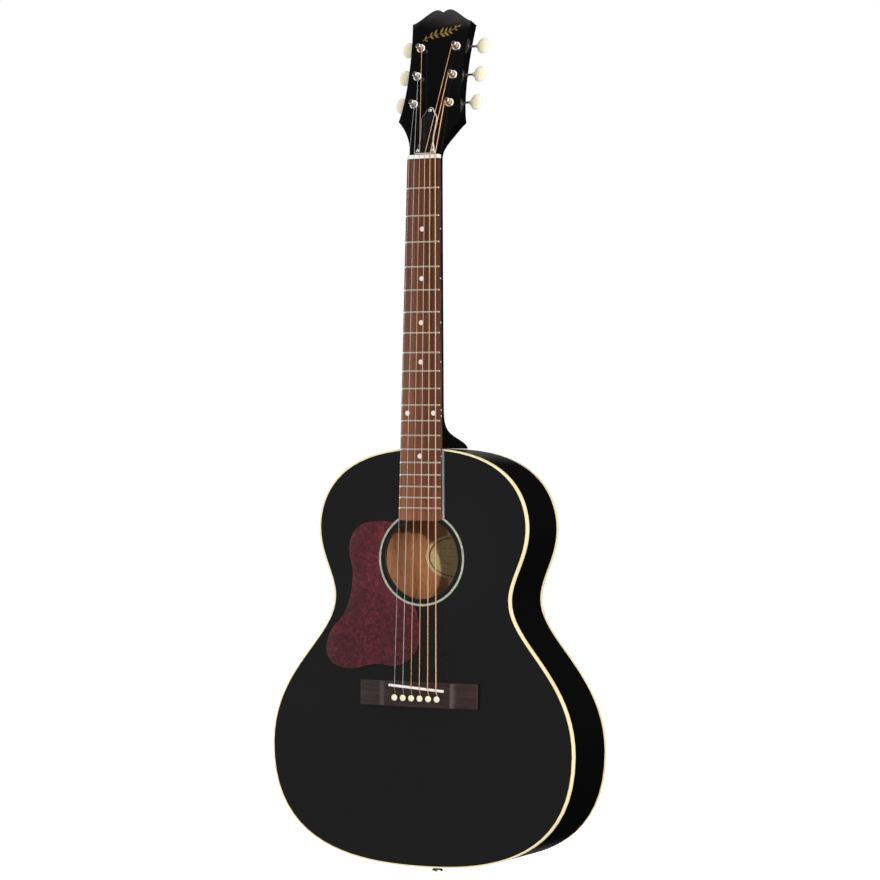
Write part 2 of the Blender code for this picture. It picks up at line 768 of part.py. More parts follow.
def make_pin_holes():
    """The cutter for the six holes through bridge, top and bridge plate."""
    places = [(pin_x(number), PIN_Z, 0) for number in range(1, 7)]
    depth = 2 * (BRIDGE_TALL + PIN_BELOW_TOP)
    rods = rods_mesh("pin_holes", PIN_RADIUS + GAP, depth, places, 12)
    return add_cutter("pin_holes", rods, (0, FACE_Y, 0), UPRIGHT)


def string_in_notch(radius):
    """How far above its pin's axis a string comes out of the bridge."""
    return PIN_RADIUS + GAP + radius + GAP / 6


def make_notches():
    """The cutter for the six grooves that the strings rise through."""
    bm = bmesh.new()
    for number, diameter in enumerate(STRING_DIAMETERS, 1):
        reach = string_in_notch(diameter / 2) + diameter / 2 + GAP
        size = Vector((diameter + 2 * GAP, 2 * NOTCH_DEPTH, reach))
        place = Matrix.Translation((pin_x(number), BRIDGE_TOP_Y, PIN_Z + reach / 2))
        bmesh.ops.create_cube(bm, size=1, matrix=place @ Matrix.Diagonal((*size, 1)))
    mesh = bpy.data.meshes.new("string_notches")
    bm.to_mesh(mesh)
    bm.free()
    return add_cutter("string_notches", mesh)


def make_bridge(pin_holes):
    """The bridge: a flat middle, hollowed ramps and two thin wings."""
    end = BRIDGE_LENGTH / 2
    ramp_foot = BRIDGE_FLAT / 2 + BRIDGE_RAMP
    rise = BRIDGE_TALL - BRIDGE_WING_TALL
    half = []
    for step in (4, 3, 2, 1, 0):
        share = step / 4
        half.append(Vector((ramp_foot - share * BRIDGE_RAMP,
                            BRIDGE_WING_TALL + rise * share ** 2)))
    half += [Vector((end, BRIDGE_WING_TALL)), Vector((end, 0))]
    block = flat_mesh("bridge", [mirrored(half)], BRIDGE_WIDTH)
    bridge = add_part("bridge", block, "bridge_wood", (0, FACE_Y - GAP, BRIDGE_Z),
                      (math.pi, 0, 0))
    half_slot = (SADDLE_LENGTH / 2 + GAP, SADDLE_SLOT_DEPTH, SADDLE_THICK / 2 + GAP)
    slot = box_mesh("saddle_slot", [-side for side in half_slot], half_slot)
    slot_cutter = add_cutter("saddle_slot", slot, (0, BRIDGE_TOP_Y, SADDLE_Z),
                             (0, SADDLE_SLANT, 0))
    for cutter in (slot_cutter, pin_holes, make_notches()):
        boolean(bridge, cutter)


def make_saddle():
    """The bone saddle, slanted so that the thick strings are longer."""
    foot = BRIDGE_TALL - SADDLE_SLOT_DEPTH + GAP
    half, thick = SADDLE_LENGTH / 2, SADDLE_THICK / 2
    bar = box_mesh("saddle", (-half, -SADDLE_TALL, -thick), (half, -foot, thick))
    saddle = add_part("saddle", bar, "bone", (0, FACE_Y - GAP, SADDLE_Z),
                      (0, SADDLE_SLANT, 0))
    bevel(saddle, SADDLE_THICK / 6)


def make_bridge_pins():
    """Six tapered pins whose heads stand over the ends of the strings."""
    top = PIN_HEAD_STAND + PIN_HEAD_TALL
    profile = (
        (0, top), (PIN_HEAD_RADIUS * 0.6, top - PIN_HEAD_TALL * 0.1),
        (PIN_HEAD_RADIUS * 0.93, top - PIN_HEAD_TALL * 0.35),
        (PIN_HEAD_RADIUS, top - PIN_HEAD_TALL * 0.65),
        (PIN_HEAD_RADIUS * 0.9, PIN_HEAD_STAND), (PIN_RADIUS, PIN_HEAD_STAND),
        (PIN_RADIUS, 0), (PIN_TIP_RADIUS, -PIN_BELOW_TOP), (0, -PIN_BELOW_TOP),
    )
    for number in range(1, 7):
        name = f"bridge_pin_{number}"
        pin = add_part(name, turned_mesh(name, profile), "ivory_plastic",
                       (pin_x(number), BRIDGE_TOP_Y, PIN_Z), UPRIGHT)
        turn(pin, 10)


def make_pickguard():
    """The thin guard beside the soundhole, cut round to clear the rosette."""
    curve = bpy.data.curves.new("pickguard", "CURVE")
    curve.dimensions = "2D"
    curve.fill_mode = "BOTH"
    curve.extrude = PICKGUARD_THICK / 2
    curve.resolution_u = 4
    spline = curve.splines.new("BEZIER")
    spline.bezier_points.add(len(PICKGUARD_POINTS) - 1)
    room = SOUNDHOLE_Z - BRIDGE_Z - BRIDGE_WIDTH / 2 - PICKGUARD_ABOVE_BRIDGE
    stretch = room / -min(point[1] for point in PICKGUARD_POINTS)
    for index, (across, up) in enumerate(PICKGUARD_POINTS):
        knot = spline.bezier_points[index]
        knot.co = (across, up * stretch if up < 0 else up, 0)
        kind = "VECTOR" if index in PICKGUARD_CORNERS else "AUTO"
        knot.handle_left_type = kind
        knot.handle_right_type = kind
    spline.use_cyclic_u = True
    place = (0, FACE_Y - GAP - PICKGUARD_THICK / 2, SOUNDHOLE_Z)
    guard = add_part("pickguard", mesh_from_curve(curve), "red_shell", place, UPRIGHT)
    radius = ROSETTE_RADIUS + ROSETTE_WIDTH / 2 + GAP
    cut = rods_mesh("pickguard_cut", radius, 4 * PICKGUARD_THICK, [(0, 0, 0)], ROUND_STEPS)
    boolean(guard, add_cutter("pickguard_cut", cut, place, UPRIGHT))


# ---------------------------------------------------------------- neck

def fretboard_half_width(z):
    """Half the fretboard's width at height z."""
    return (NUT_WIDTH + FRETBOARD_TAPER * (NUT_Z - z)) / 2


def neck_section(z, half, depth, cap):
    """Half a section through the neck, from the middle of its top to the middle of its back."""
    over = GAP
    points = [Vector((0, FACE_Y - over, z)), Vector((half, FACE_Y - over, z))]
    for step in range(SECTION_STEPS + 1):
        angle = math.pi / 2 * step / SECTION_STEPS
        x = cap + (half - cap) * math.cos(angle) ** NECK_FULLNESS
        y = depth * math.sin(angle) ** NECK_FULLNESS
        points.append(Vector((x, FACE_Y + y, z)))
    points.append(Vector((0, FACE_Y + depth, z)))
    return points


def neck_shaft_mesh():
    """Half of the shaft and the heel, lofted through their sections and open at the middle."""
    nut_z = NUT_TOP_Z + 10 * GAP
    heel_z = BODY_TOP_Z + HEEL_ROWS[0][0]
    rows = [(nut_z, NECK_DEPTH_AT_NUT, NECK_BACK_FLAT)]
    for share in (0.02, 0.5):
        depth = NECK_DEPTH_AT_NUT + share * (NECK_DEPTH_AT_HEEL - NECK_DEPTH_AT_NUT)
        rows.append((NUT_Z + share * (heel_z - NUT_Z), depth, NECK_BACK_FLAT))
    rows += [(BODY_TOP_Z + height, depth, cap) for height, depth, cap in HEEL_ROWS]
    bm = bmesh.new()
    rings = []
    for z, depth, cap in rows:
        half = fretboard_half_width(min(z, NUT_Z))
        rings.append([bm.verts.new(point) for point in neck_section(z, half, depth, cap)])
    for upper, lower in zip(rings, rings[1:]):
        for index in range(len(upper) - 1):
            bm.faces.new((upper[index], upper[index + 1], lower[index + 1], lower[index]))
    bm.faces.new(rings[0])
    bm.faces.new(reversed(rings[-1]))
    bmesh.ops.recalc_face_normals(bm, faces=bm.faces)
    mesh = bpy.data.meshes.new("neck")
    bm.to_mesh(mesh)
    bm.free()
    return mesh


def head_loop(foot):
    """The headstock's outline in its own plane, from foot below the nut's upper edge."""
    half_nut = NUT_WIDTH / 2
    hump_x, hump_y = HEAD_HUMP
    corner_x, corner_y = HEAD_CORNER
    flare_x, flare_y = HEAD_FLARE
    half = smooth_path((
        ((0, HEAD_NOTCH), (hump_x * 0.25, HEAD_NOTCH + 0.5 * (hump_y - HEAD_NOTCH)),
         (hump_x * 0.6, hump_y), (hump_x, hump_y)),
        ((hump_x, hump_y), (hump_x + 0.27 * (corner_x - hump_x), hump_y),
         (corner_x - 0.33 * (corner_x - hump_x), corner_y + 0.16 * (hump_y - corner_y)),
         (corner_x, corner_y)),
        ((corner_x, corner_y), (corner_x * 0.895, corner_y * 0.79),
         (corner_x * 0.845, corner_y * 0.456), (flare_x, flare_y)),
        ((flare_x, flare_y), (flare_x * 0.78, flare_y * 0.82),
         (half_nut, flare_y * 0.41), (half_nut, 0)),
    ), 5)
    if foot < 0:
        half.append(Vector((half_nut, foot)))
    else:
        half[-1] = Vector((half_nut, foot))
    return mirrored(half)


def tuner_sites():
    """The number, side and height of each tuner: left side up, then right side down."""
    left = [(number, LEFT, row) for number, row in zip((1, 2, 3), POST_ROWS)]
    right = [(number, RIGHT, row) for number, row in zip((4, 5, 6), reversed(POST_ROWS))]
    return left + right


def make_tuner_holes(head):
    """The cutter for the six holes through the headstock."""
    places = [(side * POST_SPACING / 2, row, 0) for number, side, row in tuner_sites()]
    rods = rods_mesh("tuner_holes", BUSHING_RADIUS + GAP, 4 * HEAD_THICK, places, 12)
    return add_cutter("tuner_holes", rods, parent=head)


def make_rod_pocket():
    """The cutter for the pocket that the truss rod's nut turns in."""
    low = (-ROD_POCKET_HALF, FACE_Y - HEAD_THICK, NUT_TOP_Z + ROD_POCKET_START)
    floor = ROD_AXIS_DEPTH + ROD_NUT_RADIUS + 2 * GAP
    high = (ROD_POCKET_HALF, FACE_Y + floor, low[2] + ROD_POCKET_LENGTH)
    return add_cutter("rod_pocket", box_mesh("rod_pocket", low, high))


def rod_boxes():
    """The truss rod's low and high corners."""
    top = NUT_Z - 8 * GAP
    half = ROD_WIDTH / 2
    return ((-half, FACE_Y + ROD_DEPTHS[0], BODY_TOP_Z + ROD_ABOVE_BODY),
            (half, FACE_Y + ROD_DEPTHS[1], top))


def make_neck(head, tuner_holes, pocket):
    """The neck in one piece with its heel, its tenon and the headstock's wood."""
    neck = add_part("neck", neck_shaft_mesh(), "black_gloss")
    mirror = neck.modifiers.new("both_sides", "MIRROR")
    mirror.use_clip = True
    mirror.merge_threshold = 0.0001

    over = 2 * VENEER_THICK
    back, front = -HEAD_THICK, over
    slab = flat_mesh("headstock_slab", [head_loop(-HEAD_UNDER_NUT)], front - back)
    slab_cutter = add_cutter("headstock_slab", slab, (0, 0, (front + back) / 2), parent=head)
    boolean(neck, slab_cutter, "UNION")

    half = TENON_WIDTH / 2
    top, rear = (FACE_Y + depth for depth in TENON_DEPTHS)
    root = BODY_TOP_Z + HEEL_ROWS[-2][0] / 2
    tenon = box_mesh("tenon", (-half, top, BODY_TOP_Z - TENON_LENGTH), (half, rear, root))
    boolean(neck, add_cutter("tenon", tenon), "UNION")

    wide = POST_SPACING * 2
    face = box_mesh("headstock_face", (-wide, 0, -VENEER_THICK - GAP),
                    (wide, HEAD_HUMP[1] * 2, HEAD_THICK))
    boolean(neck, add_cutter("headstock_face", face, parent=head))
    neck_face = box_mesh("neck_face", (-wide, FACE_Y - HEAD_THICK, BODY_TOP_Z - TENON_LENGTH),
                         (wide, FACE_Y, NUT_TOP_Z + ROD_POCKET_START))
    boolean(neck, add_cutter("neck_face", neck_face))

    low, high = rod_boxes()
    channel = box_mesh("rod_channel", [value - GAP for value in low],
                       [value + GAP for value in high])
    channel_cutter = add_cutter("rod_channel", channel)
    lid = box_mesh("channel_lid", (low[0] - GAP, FACE_Y - HEAD_THICK, low[2] - GAP),
                   (high[0] + GAP, FACE_Y + ROD_DEPTHS[1] / 2, high[2] + GAP))
    boolean(channel_cutter, add_cutter("channel_lid", lid), "UNION")
    bore = rods_mesh("thread_bore", ROD_THREAD_RADIUS + GAP, 4 * NUT_LENGTH, [(0, 0, 0)], 12)
    bore_cutter = add_cutter("thread_bore", bore, (0, FACE_Y + ROD_AXIS_DEPTH, NUT_Z))
    for cutter in (channel_cutter, bore_cutter, pocket, tuner_holes):
        boolean(neck, cutter)


def make_headstock_veneer(head, tuner_holes, pocket):
    """The thin black face of the headstock."""
    sheet = flat_mesh("headstock_veneer", [head_loop(2 * GAP)], VENEER_THICK)
    veneer = add_part("headstock_veneer", sheet, "black_gloss",
                      (0, 0, -VENEER_THICK / 2), parent=head)
    boolean(veneer, tuner_holes)
    boolean(veneer, pocket)


def make_truss_rod():
    """The adjustable rod in the neck, with its thread in the headstock's pocket."""
    low, high = rod_boxes()
    rod = add_part("truss_rod", box_mesh("truss_rod", low, high), "steel")
    start = high[2] - GAP
    end = NUT_TOP_Z + ROD_POCKET_START + 5 * GAP
    thread = rods_mesh("rod_thread", ROD_THREAD_RADIUS, end - start, [(0, 0, 0)], 12)
    place = (0, FACE_Y + ROD_AXIS_DEPTH, (start + end) / 2)
    boolean(rod, add_cutter("rod_thread", thread, place), "UNION")
    return end


def make_truss_rod_nut(thread_end):
    """The nut that bends the rod."""
    length = ROD_NUT_LENGTH
    profile = ((0, length), (ROD_NUT_RADIUS * 0.8, length), (ROD_NUT_RADIUS, length * 0.9),
               (ROD_NUT_RADIUS, 0), (0, 0))
    place = (0, FACE_Y + ROD_AXIS_DEPTH, thread_end + GAP)
    turn(add_part("truss_rod_nut", turned_mesh("truss_rod_nut", profile), "brass", place), 12)


def cover_loop():
    """The bell-shaped outline of the truss rod's cover."""
    top = COVER_START + COVER_LENGTH
    side, base = COVER_SIDE_HALF, COVER_BASE_HALF
    shoulder = COVER_START + 0.74 * COVER_LENGTH
    waist = COVER_START + 0.30 * COVER_LENGTH
    half = smooth_path((
        ((0, top), (0.42 * side, top), (0.45 * side, 0.5 * (top + shoulder)),
         (side, shoulder)),
        ((side, shoulder), (1.15 * side, shoulder - 0.12 * COVER_LENGTH),
         (0.92 * side, waist + 0.12 * COVER_LENGTH), (0.96 * side, waist)),
        ((0.96 * side, waist), (side, waist - 0.16 * COVER_LENGTH),
         (0.88 * base, COVER_START + 0.04 * COVER_LENGTH), (base, COVER_START)),
    ), 5)
    return mirrored(half)


def make_truss_rod_cover(head):
    """The plate over the rod's pocket."""
    plate = flat_mesh("truss_rod_cover", [cover_loop()], COVER_THICK)
    add_part("truss_rod_cover", plate, "black_plastic",
             (0, 0, GAP + COVER_THICK / 2), parent=head)


def make_nut():
    """The bone nut at the end of the fretboard."""
    half = NUT_WIDTH / 2
    bar = box_mesh("nut", (-half, FACE_Y - NUT_TALL, NUT_Z + GAP),
                   (half, FACE_Y - GAP, NUT_TOP_Z))
    add_part("nut", bar, "bone")


def fretboard_section(z):
    """A closed section of the fretboard: flat below and rounded above."""
    half = fretboard_half_width(z)
    crown = FRETBOARD_RADIUS - math.sqrt(FRETBOARD_RADIUS ** 2 - half ** 2)
    points = [Vector((-half, FACE_Y - GAP, z)), Vector((half, FACE_Y - GAP, z))]
    edge = FACE_Y - GAP - FRETBOARD_THICK + crown
    for step in range(FRETBOARD_FACETS + 1):
        x = half * (1 - 2 * step / FRETBOARD_FACETS)
        rise = math.sqrt(FRETBOARD_RADIUS ** 2 - x ** 2) - math.sqrt(
            FRETBOARD_RADIUS ** 2 - half ** 2)
        points.append(Vector((x, edge - rise, z)))
    return points


def fret_z(number):
    """The height of a fret's middle."""
    return NUT_Z - SCALE_LENGTH * (1 - 2 ** (-number / 12))


def make_fretboard():
    """The fretboard with its frets, which are one piece with it here."""
    bm = bmesh.new()
    rings = []
    for z in (NUT_Z, FRETBOARD_END_Z):
        rings.append([bm.verts.new(point) for point in fretboard_section(z)])
    upper, lower = rings
    for index in range(len(upper)):
        after = (index + 1) % len(upper)
        bm.faces.new((upper[index], upper[after], lower[after], lower[index]))
    bm.faces.new(upper)
    bm.faces.new(reversed(lower))
    bmesh.ops.recalc_face_normals(bm, faces=bm.faces)
    for number in range(1, FRET_COUNT + 1):
        for side in (-0.5, 0.5):
            bmesh.ops.bisect_plane(bm, geom=bm.verts[:] + bm.edges[:] + bm.faces[:],
                                   plane_co=(0, 0, fret_z(number) + side * FRET_WIDTH),
                                   plane_no=(0, 0, 1))
    heights = [fret_z(number) for number in range(1, FRET_COUNT + 1)]
    tops = [face for face in bm.faces if face.normal.y < -0.5 and min(
        abs(face.calc_center_median().z - height) for height in heights) < FRET_WIDTH / 4]
    raised = bmesh.ops.extrude_face_region(bm, geom=tops)
    moved = [item for item in raised["geom"] if isinstance(item, bmesh.types.BMVert)]
    bmesh.ops.translate(bm, vec=(0, -FRET_TALL, 0), verts=moved)
    bmesh.ops.delete(bm, geom=[face for face in tops if face.is_valid], context="FACES")
    mesh = bpy.data.meshes.new("fretboard")
    bm.to_mesh(mesh)
    bm.free()
    add_part("fretboard", mesh, "fretboard_wood")


# ---------------------------------------------------------------- tuners and strings

def make_tuner_housing(number, site):
    """One tuner's plate, its two bearing lugs and the bushing through the headstock."""
    low, high = -PLATE_BELOW_POST, PLATE_ABOVE_POST
    name = f"tuner_housing_{number}"
    plate = box_mesh(name, (-PLATE_HALF, low, PLATE_BACK),
                     (PLATE_HALF, high, PLATE_BACK + PLATE_THICK))
    housing = add_part(name, plate, "nickel", parent=site)

    outer, flange = BUSHING_RADIUS, BUSHING_FLANGE_RADIUS
    foot = PLATE_BACK + PLATE_THICK / 2
    profile = (
        (0, BUSHING_FLANGE_TALL), (outer, BUSHING_FLANGE_TALL),
        (flange, BUSHING_FLANGE_TALL / 2), (flange, GAP), (outer, GAP),
        (outer, foot), (0, foot),
    )
    barrel = turn(add_cutter(name + "_barrel", turned_mesh(name + "_barrel", profile),
                             parent=site), 12)
    boolean(housing, barrel, "UNION")

    for lug_side in (LEFT, RIGHT):
        near = lug_side * LUG_INNER_FACE
        far = near + lug_side * LUG_THICK
        lug = box_mesh(name + "_lug", (min(near, far), WORM_OFFSET - LUG_HALF,
                                       KEY_DEPTH - LUG_HALF),
                       (max(near, far), WORM_OFFSET + LUG_HALF, PLATE_BACK + PLATE_THICK / 2))
        boolean(housing, add_cutter(f"{name}_lug", lug, parent=site), "UNION")

    post_bore = rods_mesh(name + "_bore", POST_RADIUS + GAP, 4 * HEAD_THICK, [(0, 0, 0)], 12)
    half_facet = math.pi / 12
    boolean(housing, add_cutter(name + "_bore", post_bore, (0, 0, 0), (0, 0, half_facet), site))
    shaft_bore = rods_mesh(name + "_shaft_bore", KEY_SHAFT_RADIUS + GAP, 4 * PLATE_HALF,
                           [(0, 0, 0)], 12)
    boolean(housing, add_cutter(name + "_shaft_bore", shaft_bore,
                                (0, WORM_OFFSET, KEY_DEPTH), (0, math.pi / 2, 0), site))


def make_tuner_post(number, site):
    """The string post, with the gear at its foot."""
    gear_top = PLATE_BACK - GAP
    gear_foot = gear_top - GEAR_THICK
    waist = POST_RADIUS * 0.85
    profile = (
        (0, POST_REACH), (POST_RADIUS, POST_REACH * 0.95), (POST_RADIUS, POST_REACH * 0.75),
        (waist, POST_REACH * 0.65), (waist, POST_REACH * 0.4),
        (POST_RADIUS, POST_REACH * 0.3), (POST_RADIUS, gear_top),
        (GEAR_RADIUS, gear_top), (GEAR_RADIUS, gear_foot), (0, gear_foot),
    )
    name = f"tuner_post_{number}"
    turn(add_part(name, turned_mesh(name, profile), "nickel", parent=site), 12)


def make_tuner_key(number, site, side):
    """The worm shaft with its oval button, lying across the headstock's back."""
    inner_end = LUG_INNER_FACE + LUG_THICK + 2 * GAP
    worm_half = LUG_INNER_FACE - 2 * GAP
    button_x = BUTTON_REACH
    profile = (
        (0, button_x), (KEY_SHAFT_RADIUS, button_x), (KEY_SHAFT_RADIUS, worm_half),
        (WORM_RADIUS, worm_half), (WORM_RADIUS, -worm_half),
        (KEY_SHAFT_RADIUS, -worm_half), (KEY_SHAFT_RADIUS, -inner_end), (0, -inner_end),
    )
    name = f"tuner_key_{number}"
    key = add_part(name, turned_mesh(name, profile), "ivory_plastic",
                   (0, WORM_OFFSET, KEY_DEPTH), (0, side * math.pi / 2, 0), site)
    turn(key, 10)
    bm = bmesh.new()
    across, tall, thick = BUTTON_SIZE
    place = Matrix.Translation((0, 0, button_x)) @ Matrix.Diagonal((thick, tall, across, 1))
    bmesh.ops.create_uvsphere(bm, u_segments=12, v_segments=7, radius=0.5, matrix=place)
    mesh = bpy.data.meshes.new(name + "_button")
    bm.to_mesh(mesh)
    bm.free()
    boolean(key, add_cutter(name + "_button", mesh, parent=key), "UNION")


def make_tuners(head):
    """Six tuners, three on each side of the headstock."""
    for number, side, row in tuner_sites():
        site = bpy.data.objects.new(f"tuner_site_{number}", None)
        site.location = (side * POST_SPACING / 2, row, 0)
        site.parent = head
        PARTS.objects.link(site)
        make_tuner_housing(number, site)
        make_tuner_post(number, site)
        make_tuner_key(number, site, side)


def tangent_point(start, centre, radius, side):
    """Where a line from start touches a circle, on its side nearer the middle."""
    reach = centre - start
    length = math.sqrt(reach.length_squared - radius ** 2)
    swing = side * math.asin(radius / reach.length)
    direction = reach.normalized()
    direction.rotate(Matrix.Rotation(swing, 2))
    return start + length * direction


def string_route(number, side, row):
    """A string's points: pin, saddle, nut and the place where it meets its post."""
    radius = STRING_DIAMETERS[number - 1] / 2
    share = (number - 3.5) / 5
    rise_z = PIN_Z + string_in_notch(radius)
    saddle_x = share * STRING_SPREAD_AT_SADDLE
    saddle_z = SADDLE_Z - saddle_x * math.tan(SADDLE_SLANT) - SADDLE_THICK / 2
    nut_x = share * STRING_SPREAD_AT_NUT
    route = [
        Vector((pin_x(number), BRIDGE_TOP_Y + STRING_IN_NOTCH, rise_z)),
        Vector((pin_x(number), BRIDGE_TOP_Y - radius, rise_z + GAP / 3)),
        Vector((saddle_x, FACE_Y - GAP - SADDLE_TALL - GAP - radius, saddle_z)),
        Vector((nut_x, FACE_Y - NUT_TALL - GAP - radius, NUT_TOP_Z + GAP)),
    ]
    leaving = HEAD_FRAME.inverted() @ route[-1]
    centre = Vector((side * POST_SPACING / 2, row))
    touch = tangent_point(leaving.xy, centre, POST_RADIUS + GAP + radius, side)
    route.append(HEAD_FRAME @ Vector((*touch, STRING_ON_POST)))
    return route


def make_strings():
    """Six strings, drawn tight from the pins to the posts."""
    for number, side, row in tuner_sites():
        name = f"string_{number}"
        curve = bpy.data.curves.new(name, "CURVE")
        curve.dimensions = "3D"
        curve.bevel_depth = STRING_DIAMETERS[number - 1] / 2
        curve.bevel_resolution = 1
        curve.use_fill_caps = True
        route = string_route(number, side, row)
        spline = curve.splines.new("POLY")
        spline.points.add(len(route) - 1)
        for target, point in zip(spline.points, route):
            target.co = (*point, 1)
        add_part(name, curve, "steel" if number <= 2 else "bronze")


# ---------------------------------------------------------------- strap button, assembly

def make_strap_button():
    """The button under the tail, screwed into the tail block."""
    reach = STRAP_REACH
    base = reach - GAP
    top = reach + SIDE_THICK + STRAP_SCREW_LENGTH
    profile = (
        (0, top), (STRAP_SCREW_RADIUS, top - 2 * STRAP_SCREW_RADIUS),
        (STRAP_SCREW_RADIUS, base), (STRAP_BASE_RADIUS, base),
        (STRAP_NECK_RADIUS, base * 0.7), (STRAP_NECK_RADIUS, base * 0.45),
        (STRAP_HEAD_RADIUS, base * 0.22), (STRAP_HEAD_RADIUS, base * 0.08),
        (STRAP_HEAD_RADIUS * 0.9, 0), (0, 0),
    )
    turn(add_part("strap_button", turned_mesh("strap_button", profile), "nickel"), 16)


def make_screw_hole():
    """The cutter for the strap button's screw."""
    length = STRAP_SCREW_LENGTH + SIDE_THICK + GAP
    rod = rods_mesh("screw_hole", STRAP_SCREW_RADIUS + GAP, 2 * length, [(0, 0, 0)])
    return add_cutter("screw_hole", rod, (0, 0, TAIL_Z))


def make_tenon_hole():
    """The cutter for the neck's tenon in the sides and in the neck block."""
    half = TENON_WIDTH / 2 + GAP
    front, rear = (FACE_Y + depth for depth in TENON_DEPTHS)
    room = box_mesh("tenon_hole", (-half, front - GAP, BODY_TOP_Z - TENON_LENGTH - GAP),
                    (half, rear + GAP, BODY_TOP_Z + TENON_LENGTH))
    return add_cutter("tenon_hole", room)


def make_guitar():
    """Builds every sub-part in the order a guitar goes together."""
    tenon_hole = make_tenon_hole()
    screw_hole = make_screw_hole()
    pin_holes = make_pin_holes()
    make_sides(tenon_hole, screw_hole)
    make_linings()
    make_blocks(tenon_hole, screw_hole)
    make_soundboard(pin_holes)
    make_rosette()
    make_x_braces()
    make_upper_brace()
    make_bridge_plate(pin_holes)
    make_back()
    make_back_strip()
    make_back_braces()
    make_label()
    make_bindings()
    make_strap_button()
    make_bridge(pin_holes)
    make_saddle()
    make_bridge_pins()
    make_pickguard()

    head = bpy.data.objects.new("headstock_frame", None)
    head.matrix_world = HEAD_FRAME
    PARTS.objects.link(head)
    tuner_holes = make_tuner_holes(head)
    pocket = make_rod_pocket()
    make_neck(head, tuner_holes, pocket)
    make_headstock_veneer(head, tuner_holes, pocket)
    make_truss_rod_nut(make_truss_rod())
    make_truss_rod_cover(head)
    make_fretboard()
    make_nut()
    make_tuners(head)
    make_strings()


make_guitar()
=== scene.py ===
# %% [markdown]
# # A left-handed acoustic guitar
#
# This lesson dresses a finished mechanical model of a guitar.  The model already knows where
# every piece sits and how the pegs, pins and the rod's nut move, so each cell below only asks
# it for places and then builds the fine, visible surface of one piece.
#
# The world is in metres.  +Z runs up the neck, the soundboard faces -Y, and +X is on the
# right of someone who looks at the soundboard.

import json
import math

import bmesh
import bpy
from mathutils import Matrix, Vector
from mathutils.geometry import interpolate_bezier


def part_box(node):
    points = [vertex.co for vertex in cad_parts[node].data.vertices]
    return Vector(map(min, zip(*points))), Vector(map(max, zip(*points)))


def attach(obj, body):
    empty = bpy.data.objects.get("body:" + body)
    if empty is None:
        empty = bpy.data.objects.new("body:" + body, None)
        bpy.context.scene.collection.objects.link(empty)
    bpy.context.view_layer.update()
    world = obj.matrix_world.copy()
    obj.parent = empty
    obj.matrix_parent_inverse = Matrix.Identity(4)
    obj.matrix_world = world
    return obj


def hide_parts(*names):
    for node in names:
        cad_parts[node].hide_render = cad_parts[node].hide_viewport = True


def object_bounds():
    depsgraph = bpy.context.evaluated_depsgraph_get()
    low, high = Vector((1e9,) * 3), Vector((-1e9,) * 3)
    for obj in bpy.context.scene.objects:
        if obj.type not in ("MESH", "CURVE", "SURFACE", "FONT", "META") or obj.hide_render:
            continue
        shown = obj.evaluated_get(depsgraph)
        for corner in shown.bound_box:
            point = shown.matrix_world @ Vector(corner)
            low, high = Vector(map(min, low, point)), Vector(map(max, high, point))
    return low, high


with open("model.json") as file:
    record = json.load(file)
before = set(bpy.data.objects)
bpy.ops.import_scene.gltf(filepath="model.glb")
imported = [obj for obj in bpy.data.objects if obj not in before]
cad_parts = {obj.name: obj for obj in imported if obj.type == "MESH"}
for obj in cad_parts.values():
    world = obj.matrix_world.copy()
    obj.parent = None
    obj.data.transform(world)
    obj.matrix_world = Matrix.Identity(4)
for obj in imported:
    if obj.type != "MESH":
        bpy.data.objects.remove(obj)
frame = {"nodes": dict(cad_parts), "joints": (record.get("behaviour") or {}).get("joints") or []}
CAD_LOW, CAD_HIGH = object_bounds()
JOINTS = {joint["name"]: joint for joint in frame["joints"]}

# %% [markdown]
# ## The camera first
#
# The guitar is seen from its right, almost level, so both the face and one side show.  A long
# lens keeps the neck's edges nearly parallel.  The camera is set by where it looks, how far
# off it stands and how much it leans.

# %% Camera
AIM = Vector((0.0236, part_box("soundboard")[0].y, 0.5219))
TURN = math.radians(26.41)
RISE = math.radians(-0.87)
LEAN = math.radians(-0.57)
DISTANCE = 3.378
LENS = 115.6


def make_camera():
    """A long lens that looks at the guitar from its right."""
    back = Vector((math.sin(TURN) * math.cos(RISE), -math.cos(TURN) * math.cos(RISE),
                   math.sin(RISE)))
    right = Vector((math.cos(TURN), math.sin(TURN), 0))
    up = back.cross(right)
    leaning_right = right * math.cos(LEAN) - up * math.sin(LEAN)
    leaning_up = right * math.sin(LEAN) + up * math.cos(LEAN)
    data = bpy.data.cameras.new("camera")
    data.lens = LENS
    data.sensor_width = 36
    camera = bpy.data.objects.new("camera", data)
    axes = Matrix((leaning_right, leaning_up, back)).transposed()
    camera.matrix_world = Matrix.Translation(AIM + DISTANCE * back) @ axes.to_4x4()
    bpy.context.scene.collection.objects.link(camera)
    bpy.context.scene.camera = camera
    return camera


CAMERA = make_camera()
print("camera stands", round(CAMERA.location.length, 2), "m from the origin")

# %% [markdown]
# ## Measures taken from the frame
#
# A guitar is laid out from two lines: the soundboard's plane and the nut.  Everything that is
# read here comes from the boxes of the finished solids and from the joints' axes, so the looks
# can't drift away from the mechanics.

